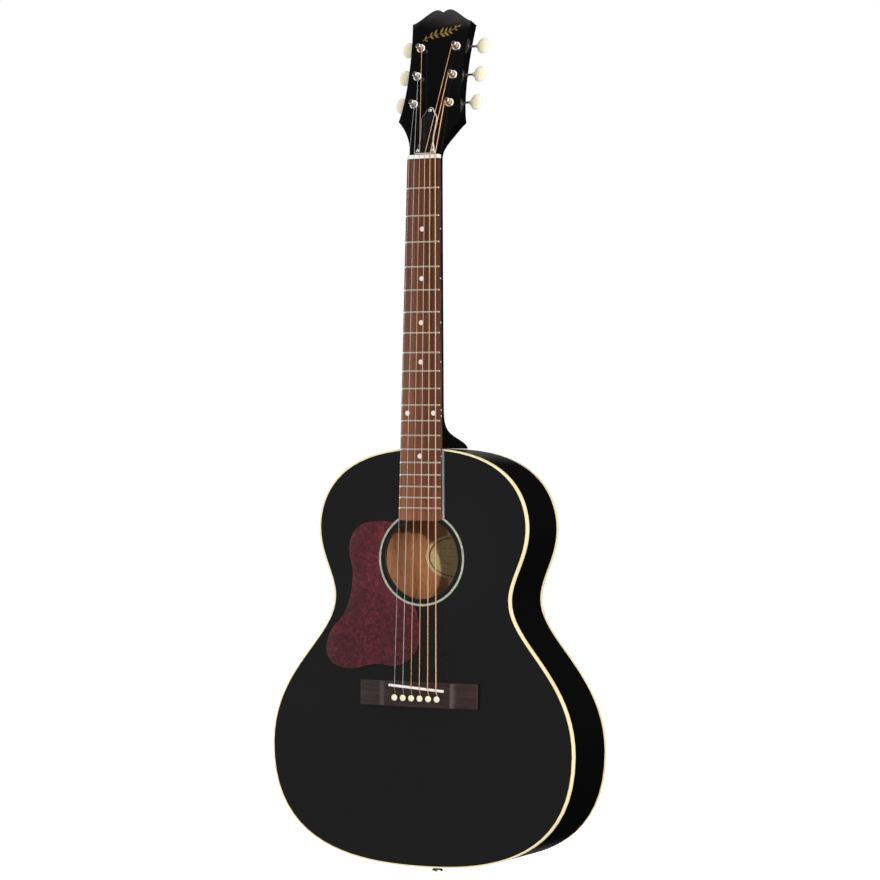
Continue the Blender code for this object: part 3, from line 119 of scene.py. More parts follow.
# %% Measures
FACE_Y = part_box("soundboard")[0].y
TAIL_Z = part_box("front_binding")[0].z
BODY_TOP_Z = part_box("front_binding")[1].z
BODY_LENGTH = BODY_TOP_Z - TAIL_Z
SEAM = 0.0001
BINDING_WIDTH = 0.0020
BINDING_DEPTH = 0.0062
SIDE_THICK = 0.0023
BACK_THICK = 0.0028
BACK_RIM = 0.0080
BACK_DOME = 0.0036
DEPTH_AT_NECK = 0.0888
DEPTH_AT_TAIL = 0.1031
SOUNDBOARD_THICK = 0.0030
SOUNDHOLE_RADIUS = 0.0485
ROSETTE_LOW, ROSETTE_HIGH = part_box("rosette")
SOUNDHOLE_Z = (ROSETTE_LOW.z + ROSETTE_HIGH.z) / 2
ROSETTE_RADIUS = (ROSETTE_HIGH.z - ROSETTE_LOW.z) / 2
ROSETTE_WIDTH = 0.0026
NUT_LOW, NUT_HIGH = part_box("nut")
NUT_Z = NUT_LOW.z - 0.0003
NUT_TOP_Z = NUT_HIGH.z
BOARD_LOW, BOARD_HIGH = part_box("fretboard")
SCALE_LENGTH = 0.62865
FRET_COUNT = 19
BRIDGE_LOW, BRIDGE_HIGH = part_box("bridge")
SADDLE_LOW, SADDLE_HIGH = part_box("saddle")
SADDLE_Z = (SADDLE_LOW.z + SADDLE_HIGH.z) / 2
SADDLE_SLANT = math.radians(4)
STRING_RADII = (0.00015, 0.00021, 0.00031, 0.00041, 0.00054, 0.00068)
STRING_NUMBERS = range(1, 7)
PLAIN_STRINGS = (1, 2)
STRING_SPREAD_AT_NUT = 0.0353
STRING_SPREAD_AT_SADDLE = 0.0558
NUT_TALL = 0.0077
GAP = 0.0003


def string_share(number):
    """Where a string lies across the neck, from -0.5 to 0.5."""
    return (number - 3.5) / 5


def string_metal(number):
    return "steel" if number in PLAIN_STRINGS else "bronze"


print("body", round(BODY_LENGTH, 4), "m long, soundhole at", round(SOUNDHOLE_Z, 4))

# %% [markdown]
# The headstock is tilted back, and its pegs stand square to it.  One peg's joint gives the
# direction that is square to the headstock's face, and that is enough to build a second set
# of axes: x across, u towards the tip, and w out of the face.

# %% The headstock's own axes
ACROSS = Vector((1, 0, 0))
OUTWARD = Vector(JOINTS["tuner_post_1_turn"]["axis"]).normalized()
TIPWARD = OUTWARD.cross(ACROSS)
HEAD_ORIGIN = Vector((0, FACE_Y + 0.0004, NUT_TOP_Z))
HEAD_THICK = 0.0150
VENEER_THICK = 0.0015
HEAD_AXES = Matrix.Translation(HEAD_ORIGIN) @ Matrix(
    (ACROSS, TIPWARD, OUTWARD)).transposed().to_4x4()


def on_head(x, u, w=0.0):
    """A world point from the headstock's own axes."""
    return HEAD_AXES @ Vector((x, u, w))


def head_place(x, u, w=0.0):
    """A matrix that sets a shape on the headstock, its z axis out of the face."""
    return HEAD_AXES @ Matrix.Translation((x, u, w))


def peg_place(number):
    """Side, across and up places of a peg in the headstock's axes."""
    local = HEAD_AXES.inverted() @ Vector(JOINTS[f"tuner_post_{number}_turn"]["pos_m"])
    return (1 if local.x > 0 else -1), local.x, local.y


print("headstock leans back", round(math.degrees(math.asin(OUTWARD.z)), 1), "degrees")

# %% [markdown]
# ## Helpers for materials
#
# A believable finish is rarely one colour.  Each helper adds one idea to a Principled shader:
# noise stretched along the grain for wood, a slow wobble in the gloss for lacquer, and a bump
# for pores or for a string's winding.  Every pattern reads Object coordinates, in metres.

# %% Material helpers
MATERIALS = {}


class Nodes:
    """A node tree under construction, with short names for its usual nodes."""

    def __init__(self, tree, place):
        self.tree = tree
        self.place = tree.nodes.new("ShaderNodeTexCoord").outputs[place]

    def node(self, kind, **values):
        """Adds a node and sets its own properties or its sockets by name."""
        made = self.tree.nodes.new(kind)
        for key, value in values.items():
            if hasattr(made, key):
                setattr(made, key, value)
            else:
                made.inputs[key.replace("_", " ")].default_value = value
        return made

    def link(self, output, socket):
        self.tree.links.new(output, socket)

    def grain(self, scale, detail, roughness=0.55, distortion=0.0):
        """Noise over Object coordinates, with its own scale on each axis."""
        mapping = self.node("ShaderNodeMapping", Scale=scale)
        made = self.node("ShaderNodeTexNoise", Scale=1.0, Detail=detail, Roughness=roughness,
                         Distortion=distortion)
        self.link(self.place, mapping.inputs["Vector"])
        self.link(mapping.outputs["Vector"], made.inputs["Vector"])
        return made.outputs["Fac"]

    def ramp(self, value, stops):
        """Colours picked along a value from 0 to 1."""
        made = self.node("ShaderNodeValToRGB")
        ramp = made.color_ramp
        while len(ramp.elements) < len(stops):
            ramp.elements.new(0.5)
        for element, (position, colour) in zip(ramp.elements, stops):
            element.position = position
            element.color = (*colour, 1)
        self.link(value, made.inputs["Fac"])
        return made.outputs["Color"]

    def span(self, value, low, high, to_low=0.0, to_high=1.0, interpolation="LINEAR"):
        """Maps a value's range onto another one."""
        made = self.node("ShaderNodeMapRange", From_Min=low, From_Max=high, To_Min=to_low,
                         To_Max=to_high, interpolation_type=interpolation)
        self.link(value, made.inputs["Value"])
        return made.outputs["Result"]

    def mix(self, share, first, second, blend="MIX"):
        """Blends two colours, by a number or by another texture."""
        made = self.node("ShaderNodeMix", data_type="RGBA", blend_type=blend)
        factor, colour_a, colour_b = (made.inputs[index] for index in (0, 6, 7))
        for value, socket in ((share, factor), (first, colour_a), (second, colour_b)):
            if isinstance(value, (int, float)):
                socket.default_value = value
            elif isinstance(value, tuple):
                socket.default_value = (*value, 1)
            else:
                self.link(value, socket)
        return made.outputs[2]

    def axis(self, which):
        """One of the three Object coordinates, in metres."""
        made = self.node("ShaderNodeSeparateXYZ")
        self.link(self.place, made.inputs["Vector"])
        return made.outputs[which]

    def maths(self, operation, first, second=0.0):
        """A Math node fed by numbers or by other nodes."""
        made = self.node("ShaderNodeMath", operation=operation)
        for value, socket in zip((first, second), made.inputs):
            if isinstance(value, (int, float)):
                socket.default_value = value
            else:
                self.link(value, socket)
        return made.outputs[0]


class Finish(Nodes):
    """A Principled material whose patterns read Object coordinates."""

    def __init__(self, name, colour, roughness, metallic=0.0):
        self.data = bpy.data.materials.new(name)
        self.data.use_nodes = True
        super().__init__(self.data.node_tree, "Object")
        self.shader = self.tree.nodes["Principled BSDF"]
        self.shader.inputs["Base Color"].default_value = (*colour, 1)
        self.shader.inputs["Roughness"].default_value = roughness
        self.shader.inputs["Metallic"].default_value = metallic
        self.data.diffuse_color = (*colour, 1)
        MATERIALS[name] = self.data

    def colour(self, output):
        self.link(output, self.shader.inputs["Base Color"])

    def gloss(self, value, low, high):
        """Lets the roughness wander between two values."""
        self.link(self.span(value, 0.3, 0.7, low, high), self.shader.inputs["Roughness"])

    def bump(self, height, distance, strength=1.0):
        """Raises the surface by a height texture."""
        made = self.node("ShaderNodeBump", Distance=distance, Strength=strength)
        self.link(height, made.inputs["Height"])
        self.link(made.outputs["Normal"], self.shader.inputs["Normal"])


def mottled(name, colour, roughness, noise, stops, gloss, metallic=0.0):
    """A finish whose colour and gloss both follow one noise, which is returned too."""
    made = Finish(name, colour, roughness, metallic)
    cloud = made.grain(*noise)
    made.colour(made.ramp(cloud, stops))
    made.gloss(cloud, *gloss)
    return made, cloud


print("material helpers ready")

# %% [markdown]
# ## Lacquer, plastics and metals
#
# Black nitro-style lacquer is a very dark base under a clear, wet-looking skin.  It is never
# optically flat: it sinks a little into the wood and carries faint polishing marks, and those
# two slow patterns are what make a reflection look like a guitar and not like glass.

# %% Lacquer and binding
def black_lacquer():
    made = Finish("black_lacquer", (0.0032, 0.0030, 0.0032), 0.10)
    made.shader.inputs["IOR"].default_value = 1.46
    slow = made.grain((6, 6, 6), 2.0)
    marks = made.grain((900, 900, 160), 2.0)
    made.colour(made.ramp(slow, ((0.3, (0.0028, 0.0026, 0.0028)), (0.7, (0.0038, 0.0035, 0.0037)))))
    made.gloss(marks, 0.075, 0.125)
    made.bump(slow, 0.0006, 0.25)


def cream_binding():
    made = Finish("cream_binding", (0.92, 0.78, 0.46), 0.30)
    along = made.grain((60, 60, 9), 5.0)
    specks = made.grain((700, 700, 700), 2.0)
    tint = made.ramp(along, ((0.3, (0.89, 0.73, 0.40)), (0.5, (0.94, 0.80, 0.48)),
                             (0.72, (0.96, 0.85, 0.56))))
    made.colour(made.mix(0.08, tint, made.ramp(specks, ((0.4, (0.6, 0.45, 0.2)),
                                                        (0.6, (0.95, 0.86, 0.62))))))
    made.gloss(specks, 0.24, 0.36)
    made.bump(along, 0.0001, 0.4)


black_lacquer()
cream_binding()
mottled("rosette_plastic", (0.42, 0.44, 0.33), 0.22, ((240, 240, 240), 4.0),
        ((0.3, (0.25, 0.26, 0.19)), (0.7, (0.36, 0.37, 0.28))), (0.18, 0.30))
# Painted reflection: a pale grey finish for the strip beside the fretboard, standing in for light mirrored
# in the top's black lacquer.
mottled("pale_lacquer", (0.20, 0.20, 0.205), 0.20, ((300, 300, 40), 3.0),
        ((0.3, (0.16, 0.16, 0.165)), (0.7, (0.24, 0.24, 0.245))), (0.14, 0.26))
print("finishes:", ", ".join(MATERIALS))

# %% [markdown]
# Cream pegs and pins are cast plastic: warm, slightly cloudy, a little translucent.  Bone is
# cooler and denser, with faint streaks.  The guard beside the soundhole is a red tortoise
# sheet, where darker clouds float at several depths under a polished face.

# %% Plastics and bone
def ivory_plastic():
    made, _ = mottled("ivory_plastic", (0.94, 0.87, 0.66), 0.24, ((120, 120, 45), 4.0, 0.6, 1.2),
                      ((0.25, (0.88, 0.78, 0.54)), (0.5, (0.94, 0.87, 0.66)),
                       (0.75, (0.97, 0.93, 0.77))), (0.18, 0.30))
    made.shader.inputs["Subsurface Weight"].default_value = 0.25
    made.shader.inputs["Subsurface Scale"].default_value = 0.003
    made.shader.inputs["Subsurface Radius"].default_value = (1.0, 0.7, 0.4)


def bone():
    made, streaks = mottled("bone", (0.90, 0.89, 0.86), 0.30, ((60, 400, 400), 5.0),
                            ((0.3, (0.82, 0.79, 0.72)), (0.55, (0.91, 0.90, 0.87)),
                             (0.8, (0.96, 0.95, 0.93))), (0.22, 0.36))
    made.bump(streaks, 0.00008, 0.5)


def red_shell():
    made = Finish("red_shell", (0.10, 0.012, 0.022), 0.10)
    cloud = made.grain((95, 95, 95), 5.0, 0.62, 1.6)
    fine = made.grain((260, 260, 260), 4.0, 0.6, 0.9)
    deep = made.ramp(cloud, ((0.34, (0.018, 0.004, 0.006)), (0.50, (0.055, 0.009, 0.012)),
                             (0.66, (0.150, 0.016, 0.020))))
    flecks = made.ramp(fine, ((0.40, (0.035, 0.006, 0.011)), (0.58, (0.10, 0.010, 0.020)),
                              (0.74, (0.27, 0.030, 0.040))))
    made.colour(made.mix(0.48, deep, flecks))
    made.gloss(made.grain((500, 500, 90), 2.0), 0.07, 0.14)
    made.bump(made.grain((22, 22, 22), 2.0), 0.0003, 0.2)


ivory_plastic()
bone()
red_shell()
mottled("pearl", (0.80, 0.80, 0.78), 0.18, ((420, 420, 420), 3.0, 0.6, 2.5),
        ((0.3, (0.66, 0.68, 0.70)), (0.5, (0.84, 0.83, 0.80)), (0.7, (0.90, 0.88, 0.86))),
        (0.12, 0.24))
mottled("cover_plastic", (0.010, 0.010, 0.011), 0.12, ((300, 300, 300), 3.0),
        ((0.3, (0.008, 0.008, 0.009)), (0.7, (0.013, 0.013, 0.014))), (0.08, 0.16))
mottled("white_layer", (0.82, 0.82, 0.84), 0.25, ((300, 300, 300), 3.0),
        ((0.3, (0.76, 0.76, 0.78)), (0.7, (0.88, 0.88, 0.90))), (0.18, 0.32))
print("finishes:", len(MATERIALS))

# %% [markdown]
# ## Woods
#
# Grain is noise that has been pulled long in one direction.  The fretboard's grain runs along
# the neck, the bridge's runs across the body, and the mahogany inside shows short dark pores.
# The open pores are also given a bump, because they catch the light before they read as a
# colour.

# %% Woods
def fretboard_wood():
    made = Finish("fretboard_wood", (0.20, 0.075, 0.05), 0.40)
    bands = made.grain((210, 60, 2.6), 5.0, 0.6, 0.5)
    fine = made.grain((1300, 300, 16), 3.0)
    pores = made.grain((2600, 2600, 150), 2.0)
    # Paler towards the left edge, darker towards the right edge.
    across = made.axis("X")
    side = made.span(across, -0.024, 0.026, 0.0, 1.0)
    pale = made.ramp(bands, ((0.28, (0.100, 0.030, 0.016)), (0.48, (0.225, 0.075, 0.036)),
                             (0.70, (0.36, 0.135, 0.066))))
    dark = made.ramp(bands, ((0.30, (0.030, 0.012, 0.009)), (0.50, (0.085, 0.032, 0.022)),
                             (0.72, (0.190, 0.078, 0.050))))
    wood = made.mix(side, pale, dark)
    wood = made.mix(0.28, wood, made.ramp(fine, ((0.35, (0.06, 0.02, 0.014)),
                                                 (0.65, (0.34, 0.14, 0.085)))))
    dots = made.ramp(pores, ((0.30, (0.25, 0.22, 0.2)), (0.40, (1, 1, 1))))
    wood = made.mix(0.75, wood, dots, "MULTIPLY")
    # Darker towards the nut, full colour towards the body end.
    darker_near_nut = made.ramp(made.span(made.axis("Z"), NUT_Z, BOARD_LOW.z, 0.0, 1.0),
                       ((0.0, (0.56, 0.54, 0.53)), (1.0, (1.0, 0.97, 0.92))))
    made.colour(made.mix(1.0, wood, darker_near_nut, "MULTIPLY"))
    made.shader.inputs["Specular IOR Level"].default_value = 0.28
    made.gloss(fine, 0.34, 0.52)
    made.bump(made.ramp(pores, ((0.28, (0, 0, 0)), (0.42, (1, 1, 1)))), 0.00008, 0.6)


def bridge_wood():
    made = Finish("bridge_wood", (0.05, 0.03, 0.026), 0.38)
    made.shader.inputs["Specular IOR Level"].default_value = 0.35
    wavy = made.grain((16, 240, 260), 5.0, 0.6, 1.1)
    fine = made.grain((70, 1500, 1500), 3.0)
    wood = made.ramp(wavy, ((0.28, (0.012, 0.007, 0.006)), (0.50, (0.028, 0.015, 0.012)),
                            (0.74, (0.062, 0.032, 0.026))))
    made.colour(made.mix(0.25, wood, made.ramp(fine, ((0.35, (0.014, 0.008, 0.006)),
                                                      (0.65, (0.062, 0.034, 0.027))))))
    made.gloss(fine, 0.30, 0.46)
    made.bump(fine, 0.0001, 0.5)


def mahogany():
    made = Finish("mahogany", (0.30, 0.14, 0.07), 0.60)
    broad = made.grain((34, 34, 3.2), 4.0, 0.55, 0.6)
    pores = made.grain((1500, 1500, 110), 3.0)
    wood = made.ramp(broad, ((0.28, (0.24, 0.098, 0.045)), (0.50, (0.36, 0.160, 0.075)),
                             (0.74, (0.48, 0.235, 0.115))))
    dots = made.ramp(pores, ((0.34, (0.42, 0.34, 0.30)), (0.46, (1, 1, 1))))
    made.colour(made.mix(0.8, wood, dots, "MULTIPLY"))
    made.gloss(pores, 0.50, 0.68)
    made.bump(pores, 0.00015, 0.5)


def spruce():
    made = Finish("spruce", (0.62, 0.44, 0.25), 0.58)
    years = made.grain((520, 60, 2.0), 2.0, 0.5, 0.2)
    silk = made.grain((60, 400, 60), 3.0)
    wood = made.ramp(years, ((0.35, (0.42, 0.26, 0.13)), (0.5, (0.64, 0.45, 0.26)),
                             (0.65, (0.74, 0.56, 0.35))))
    made.colour(made.mix(0.15, wood, made.ramp(silk, ((0.4, (0.5, 0.36, 0.2)),
                                                      (0.6, (0.80, 0.62, 0.42))))))
    made.gloss(silk, 0.50, 0.64)
    made.bump(years, 0.0001, 0.4)


for recipe in (fretboard_wood, bridge_wood, mahogany, spruce):
    recipe()
print("woods ready")

# %% [markdown]
# ## Metals and paper
#
# Plated nickel is warm next to chrome, and small turned pieces show fine rings.  The four low
# strings are bronze wire wound on steel: at arm's length that reads as a satin orange, and
# close up as tight rings, which a wave along the string gives.  The label inside the body is
# plain tan paper with a dark oval line and a few ruled lines, and it carries no words.

# %% Metals and paper
LABEL_LOW, LABEL_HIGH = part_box("label")


def metal(name, colour, low, high, scale=(500, 500, 500), relief=0.4):
    darker = tuple(channel * 0.86 for channel in colour)
    made, haze = mottled(name, colour, (low + high) / 2, (scale, 3.0),
                         ((0.3, darker), (0.7, colour)), (low, high), 1.0)
    made.bump(haze, 0.00003, relief)


def wound_bronze():
    made = Finish("bronze", (0.78, 0.42, 0.22), 0.34, 1.0)
    rings = made.node("ShaderNodeTexWave", wave_type="BANDS", bands_direction="Z")
    rings.inputs["Scale"].default_value = 900
    made.link(made.place, rings.inputs["Vector"])
    tarnish = made.grain((60, 60, 14), 4.0)
    made.colour(made.ramp(tarnish, ((0.3, (0.66, 0.33, 0.17)), (0.7, (0.86, 0.50, 0.28)))))
    made.gloss(tarnish, 0.26, 0.42)
    made.bump(rings.outputs["Fac"], 0.00004, 0.35)


def label_paper():
    made = Finish("label_paper", (0.50, 0.38, 0.18), 0.75)
    middle = (LABEL_LOW + LABEL_HIGH) / 2
    half = (LABEL_HIGH - LABEL_LOW) / 2
    x = made.maths("DIVIDE", made.axis("X"), half.x)
    z = made.maths("DIVIDE", made.maths("SUBTRACT", made.axis("Z"), middle.z), half.z)
    reach = made.maths("SQRT", made.maths("ADD", made.maths("MULTIPLY", x, x),
                                          made.maths("MULTIPLY", z, z)))
    from_line = made.maths("ABSOLUTE", made.maths("SUBTRACT", reach, 0.86))
    border = made.maths("LESS_THAN", from_line, 0.022)
    rows = made.maths("PINGPONG", made.maths("ADD", z, 2.0), 0.17)
    rule = made.maths("LESS_THAN", rows, 0.014)
    inside = made.maths("LESS_THAN", made.maths("ABSOLUTE", x), 0.52)
    low_part = made.maths("LESS_THAN", made.maths("ABSOLUTE", z), 0.60)
    ruled = made.maths("MULTIPLY", rule, made.maths("MULTIPLY", inside, low_part))
    fibres = made.grain((300, 300, 300), 5.0)
    paper = made.ramp(fibres, ((0.3, (0.42, 0.31, 0.13)), (0.7, (0.58, 0.46, 0.23))))
    inked = made.mix(border, paper, (0.07, 0.05, 0.03))
    made.colour(made.mix(made.maths("MULTIPLY", ruled, 0.55), inked, (0.10, 0.07, 0.04)))
    made.gloss(fibres, 0.65, 0.85)
    made.bump(fibres, 0.00005, 0.5)


metal("nickel", (0.80, 0.77, 0.71), 0.10, 0.22)
metal("fret_wire", (0.80, 0.76, 0.66), 0.14, 0.26, (900, 200, 200))
metal("steel", (0.70, 0.70, 0.70), 0.26, 0.40, (60, 60, 12), 0.02)
metal("brass", (0.76, 0.58, 0.26), 0.20, 0.36)
metal("gold_paint", (0.66, 0.42, 0.11), 0.30, 0.48, (700, 700, 700))
wound_bronze()
label_paper()
print("all finishes:", len(MATERIALS))

# %% [markdown]
# ## Helpers for shapes
#
# Almost everything on a guitar is one of three shapes: a flat outline with a thickness, a
# profile turned on a lathe, or a skin stretched over a row of sections.  So there are three
# helpers, and each one starts from a few points and lets a bmesh operator do the rest.

# %% Shape helpers
def loop_edges(bm, points):
    """A closed ring of edges through the points."""
    verts = [bm.verts.new(point) for point in points]
    return [bm.edges.new((first, second)) for first, second in zip(verts, verts[1:] + verts[:1])]


def fill(bm, points):
    """One face inside a ring of points."""
    edges = loop_edges(bm, points)
    return bmesh.ops.contextual_create(bm, geom=edges)["faces"][0]


def extrude(bm, faces, move):
    """Gives faces a thickness and returns the moved vertices."""
    made = bmesh.ops.extrude_face_region(bm, geom=list(faces))["geom"]
    moved = [item for item in made if isinstance(item, bmesh.types.BMVert)]
    bmesh.ops.translate(bm, vec=move, verts=moved)
    return moved


def round_edges(bm, width, segments=2, chosen=None):
    """Bevels the chosen edges, or every edge that turns by more than 30 degrees."""
    bmesh.ops.recalc_face_normals(bm, faces=bm.faces)
    if chosen is None:
        chosen = [edge for edge in bm.edges
                  if len(edge.link_faces) == 2 and edge.calc_face_angle(0) > math.radians(30)]
    bmesh.ops.bevel(bm, geom=chosen, offset=width, segments=segments, profile=0.5,
                    affect="EDGES", clamp_overlap=True, material=-1)


def quarter_turns(steps, first=0):
    """Angles from 0 to a right angle, for the points of a quarter circle."""
    return [math.pi / 2 * step / steps for step in range(first, steps + 1)]


def facing_out(x, y, z):
    """A place whose own z axis points out of the soundboard."""
    return Matrix.Translation((x, y, z)) @ Matrix.Rotation(math.pi / 2, 4, "X")


def lathe(bm, profile, steps=32, place=Matrix.Identity(4)):
    """Turns (radius, height) points about the z axis of a place."""
    verts = [bm.verts.new((radius, 0, height)) for radius, height in profile]
    edges = [bm.edges.new(pair) for pair in zip(verts, verts[1:])]
    before = set(bm.verts) - set(verts)
    bmesh.ops.spin(bm, geom=verts + edges, cent=(0, 0, 0), axis=(0, 0, 1),
                   angle=2 * math.pi, steps=steps, use_merge=True, use_duplicate=False)
    turned = [vert for vert in bm.verts if vert not in before]
    bmesh.ops.remove_doubles(bm, verts=turned, dist=1e-7)
    turned = [vert for vert in bm.verts if vert not in before]
    bmesh.ops.transform(bm, matrix=place, verts=turned)


def skin(bm, rings):
    """Bridges a row of rings and closes both ends."""
    loops = [loop_edges(bm, ring) for ring in rings]
    for first, second in zip(loops, loops[1:]):
        bmesh.ops.bridge_loops(bm, edges=first + second)
    for loop in (loops[0], loops[-1]):
        bmesh.ops.contextual_create(bm, geom=loop)


def block(bm, low, high, place=Matrix.Identity(4)):
    """A box between two corners of a place; returns its vertices."""
    low, high = Vector(low), Vector(high)
    shape = Matrix.Translation((low + high) / 2) @ Matrix.Diagonal((*(high - low), 1))
    return bmesh.ops.create_cube(bm, size=1, matrix=place @ shape)["verts"]


print("shape helpers ready")

# %% [markdown]
# Each piece ends the same way.  Its faces are turned outwards, its round parts are shaded
# smooth and its edges kept crisp, its finishes fill its slots, it is hung on the body it
# rides on, and the plain solids it stands for are hidden.

# %% Finishing a piece
def place_mesh(name, bm):
    """Turns a bmesh into an object of the scene."""
    mesh = bpy.data.meshes.new(name)
    bm.to_mesh(mesh)
    bm.free()
    placed = bpy.data.objects.new(name, mesh)
    bpy.context.scene.collection.objects.link(placed)
    return placed


def add_shape(bm, shape):
    """Moves one bmesh's surface into another bmesh."""
    mesh = bpy.data.meshes.new("shape")
    shape.to_mesh(mesh)
    shape.free()
    bm.from_mesh(mesh)
    bpy.data.meshes.remove(mesh)


def finish(name, bm, finishes, stands_for=(), body="guitar", crisp=35):
    """Makes a shown piece out of a bmesh."""
    bmesh.ops.remove_doubles(bm, verts=bm.verts, dist=1e-6)
    bmesh.ops.recalc_face_normals(bm, faces=bm.faces)
    piece = place_mesh(name, bm)
    mesh = piece.data
    for finish_name in ([finishes] if isinstance(finishes, str) else finishes):
        mesh.materials.append(MATERIALS[finish_name])
    mesh.shade_smooth()
    mesh.set_sharp_from_angle(angle=math.radians(crisp))
    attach(piece, body)
    if stands_for:
        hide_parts(*stands_for)
    return piece


def curve_tube(bm, points, radius, sides=3):
    """Adds a round tube along the points to a bmesh."""
    curve = bpy.data.curves.new("tube", "CURVE")
    curve.dimensions = "3D"
    curve.bevel_depth = radius
    curve.bevel_resolution = sides
    curve.use_fill_caps = True
    spline = curve.splines.new("POLY")
    spline.points.add(len(points) - 1)
    for target, point in zip(spline.points, points):
        target.co = (*point, 1)
    holder = bpy.data.objects.new("tube", curve)
    mesh = bpy.data.meshes.new_from_object(holder)
    bm.from_mesh(mesh)
    bpy.data.objects.remove(holder)
    bpy.data.meshes.remove(mesh)
    bpy.data.curves.remove(curve)


def carve(piece, cutter_bm):
    """Cuts a shape out of a piece for good."""
    bmesh.ops.recalc_face_normals(cutter_bm, faces=cutter_bm.faces)
    cutter = place_mesh("cutter", cutter_bm)
    modifier = piece.modifiers.new("carve", "BOOLEAN")
    modifier.object = cutter
    modifier.operation = "DIFFERENCE"
    modifier.solver = "EXACT"
    bpy.context.view_layer.update()
    shaped = piece.evaluated_get(bpy.context.evaluated_depsgraph_get())
    carved = bpy.data.meshes.new_from_object(shaped)
    piece.modifiers.remove(modifier)
    piece.data = carved
    carved.set_sharp_from_angle(angle=math.radians(35))
    bpy.data.objects.remove(cutter)


def drill(piece, place, radius, depth, segments):
    """Cuts a round hole along the z axis of a place."""
    hole = bmesh.new()
    bmesh.ops.create_cone(hole, cap_ends=True, segments=segments, radius1=radius,
                          radius2=radius, depth=depth, matrix=place)
    carve(piece, hole)


def cut_box(piece, low, high, place=Matrix.Identity(4)):
    """Cuts a box between two corners of a place."""
    cutter = bmesh.new()
    block(cutter, low, high, place)
    carve(piece, cutter)


print("finishing helpers ready")

# %% [markdown]
# ## The body's outline
#
# A guitar's outline is a chain of four smooth bends on each side: shoulder, upper bout to
# waist, waist to hip, and hip to tail.  Each bend is a Bezier span whose ends are level with
# the axes, so the joints between spans are smooth by design.  Every plate, binding and side
# starts from this one function, moved inwards by its own inset.

# %% Body outline
UPPER_HALF, UPPER_HEIGHT = 0.13925, 0.4063
WAIST_HALF, WAIST_HEIGHT = 0.11745, 0.3213
LOWER_HALF, LOWER_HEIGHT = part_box("front_binding")[1].x, 0.1411


def bezier_path(spans, steps):
    """Points along a chain of flat Bezier spans."""
    points = []
    for span in spans:
        knots = [Vector((*point, 0)) for point in span]
        points += interpolate_bezier(*knots, steps + 1)[:-1]
    return [point.xy for point in points + [Vector((*spans[-1][3], 0))]]


def mirrored(half):
    """A closed loop from its right half."""
    return half + [Vector((-point.x, point.y)) for point in reversed(half) if point.x > 1e-9]


def body_outline(inset=0.0, steps=20):
    """The body's outline in (x, z), moved inwards by inset."""
    upper_z, waist_z, lower_z = (TAIL_Z + UPPER_HEIGHT, TAIL_Z + WAIST_HEIGHT,
                                 TAIL_Z + LOWER_HEIGHT)
    loop = mirrored(bezier_path((
        ((0, BODY_TOP_Z), (0.1244, BODY_TOP_Z), (UPPER_HALF, upper_z + 0.0286),
         (UPPER_HALF, upper_z)),
        ((UPPER_HALF, upper_z), (UPPER_HALF, upper_z - 0.0352), (WAIST_HALF, waist_z + 0.0260),
         (WAIST_HALF, waist_z)),
        ((WAIST_HALF, waist_z), (WAIST_HALF, waist_z - 0.0505), (LOWER_HALF, lower_z + 0.0925),
         (LOWER_HALF, lower_z)),
        ((LOWER_HALF, lower_z), (LOWER_HALF, lower_z - 0.1317), (0.0768, TAIL_Z), (0, TAIL_Z)),
    ), steps))
    moved = []
    for before, point, after in zip(loop[-1:] + loop[:-1], loop, loop[1:] + loop[:1]):
        along = (after - before).normalized()
        moved.append(point + inset * Vector((along.y, -along.x)))
    return moved


def at_y(points, y):
    """Flat (x, z) points set at a depth."""
    return [Vector((point.x, y, point.y)) for point in points]


def circle(radius, x, z, steps=96):
    """Points round a circle in (x, z)."""
    turns = [2 * math.pi * step / steps for step in range(steps)]
    return [Vector((x + radius * math.sin(turn), z + radius * math.cos(turn)))
            for turn in turns]


def rear_y(z):
    """Where the back's rim lies: the body is deeper at the tail than at the neck."""
    share = (z - TAIL_Z) / BODY_LENGTH
    return FACE_Y + DEPTH_AT_TAIL + share * (DEPTH_AT_NECK - DEPTH_AT_TAIL)


print("outline has", len(body_outline()), "points")

# %% [markdown]
# ## Soundboard
#
# The top is a thin plate with one round hole.  Two rings of edges are drawn on one plane and
# filled together, so the hole needs no cutting.  The hole's front edge is rounded over under
# the lacquer, and that small bevel is what catches the grey line of light around the hole.

# %% Soundboard
def make_soundboard():
    bm = bmesh.new()
    rim = loop_edges(bm, at_y(body_outline(BINDING_WIDTH + SEAM), FACE_Y))
    hole = loop_edges(bm, at_y(circle(SOUNDHOLE_RADIUS, 0, SOUNDHOLE_Z), FACE_Y))
    bmesh.ops.triangle_fill(bm, use_beauty=True, edges=rim + hole)
    centre = Vector((0, FACE_Y, SOUNDHOLE_Z))
    faces = [face for face in bm.faces
             if (face.calc_center_median() - centre).length > SOUNDHOLE_RADIUS * 0.97
             or max((vert.co - centre).length for vert in face.verts) > SOUNDHOLE_RADIUS * 1.1]
    inner = [face for face in bm.faces if face not in set(faces)]
    bmesh.ops.delete(bm, geom=inner, context="FACES")
    extrude(bm, bm.faces[:], (0, SOUNDBOARD_THICK, 0))
    edge = [item for item in bm.edges if all(
        abs(vert.co.y - FACE_Y) < 1e-6
        and abs((vert.co - centre).length - SOUNDHOLE_RADIUS) < 1e-5 for vert in item.verts)]
    round_edges(bm, 0.0007, 4, edge)
    for face in bm.faces:
        face.material_index = 1 if face.normal.y > 0.9 else 0
    return finish("soundboard_plate", bm, ("black_lacquer", "spruce"),
                  ("soundboard",))


SOUNDBOARD = make_soundboard()
print("soundboard has", len(SOUNDBOARD.data.polygons), "faces")

# %% [markdown]
# ## Rosette
#
# The ring round the soundhole is let in flush.  It is turned on a lathe about the hole's own
# axis, a twentieth of a millimetre proud so that it never fights with the top's surface.

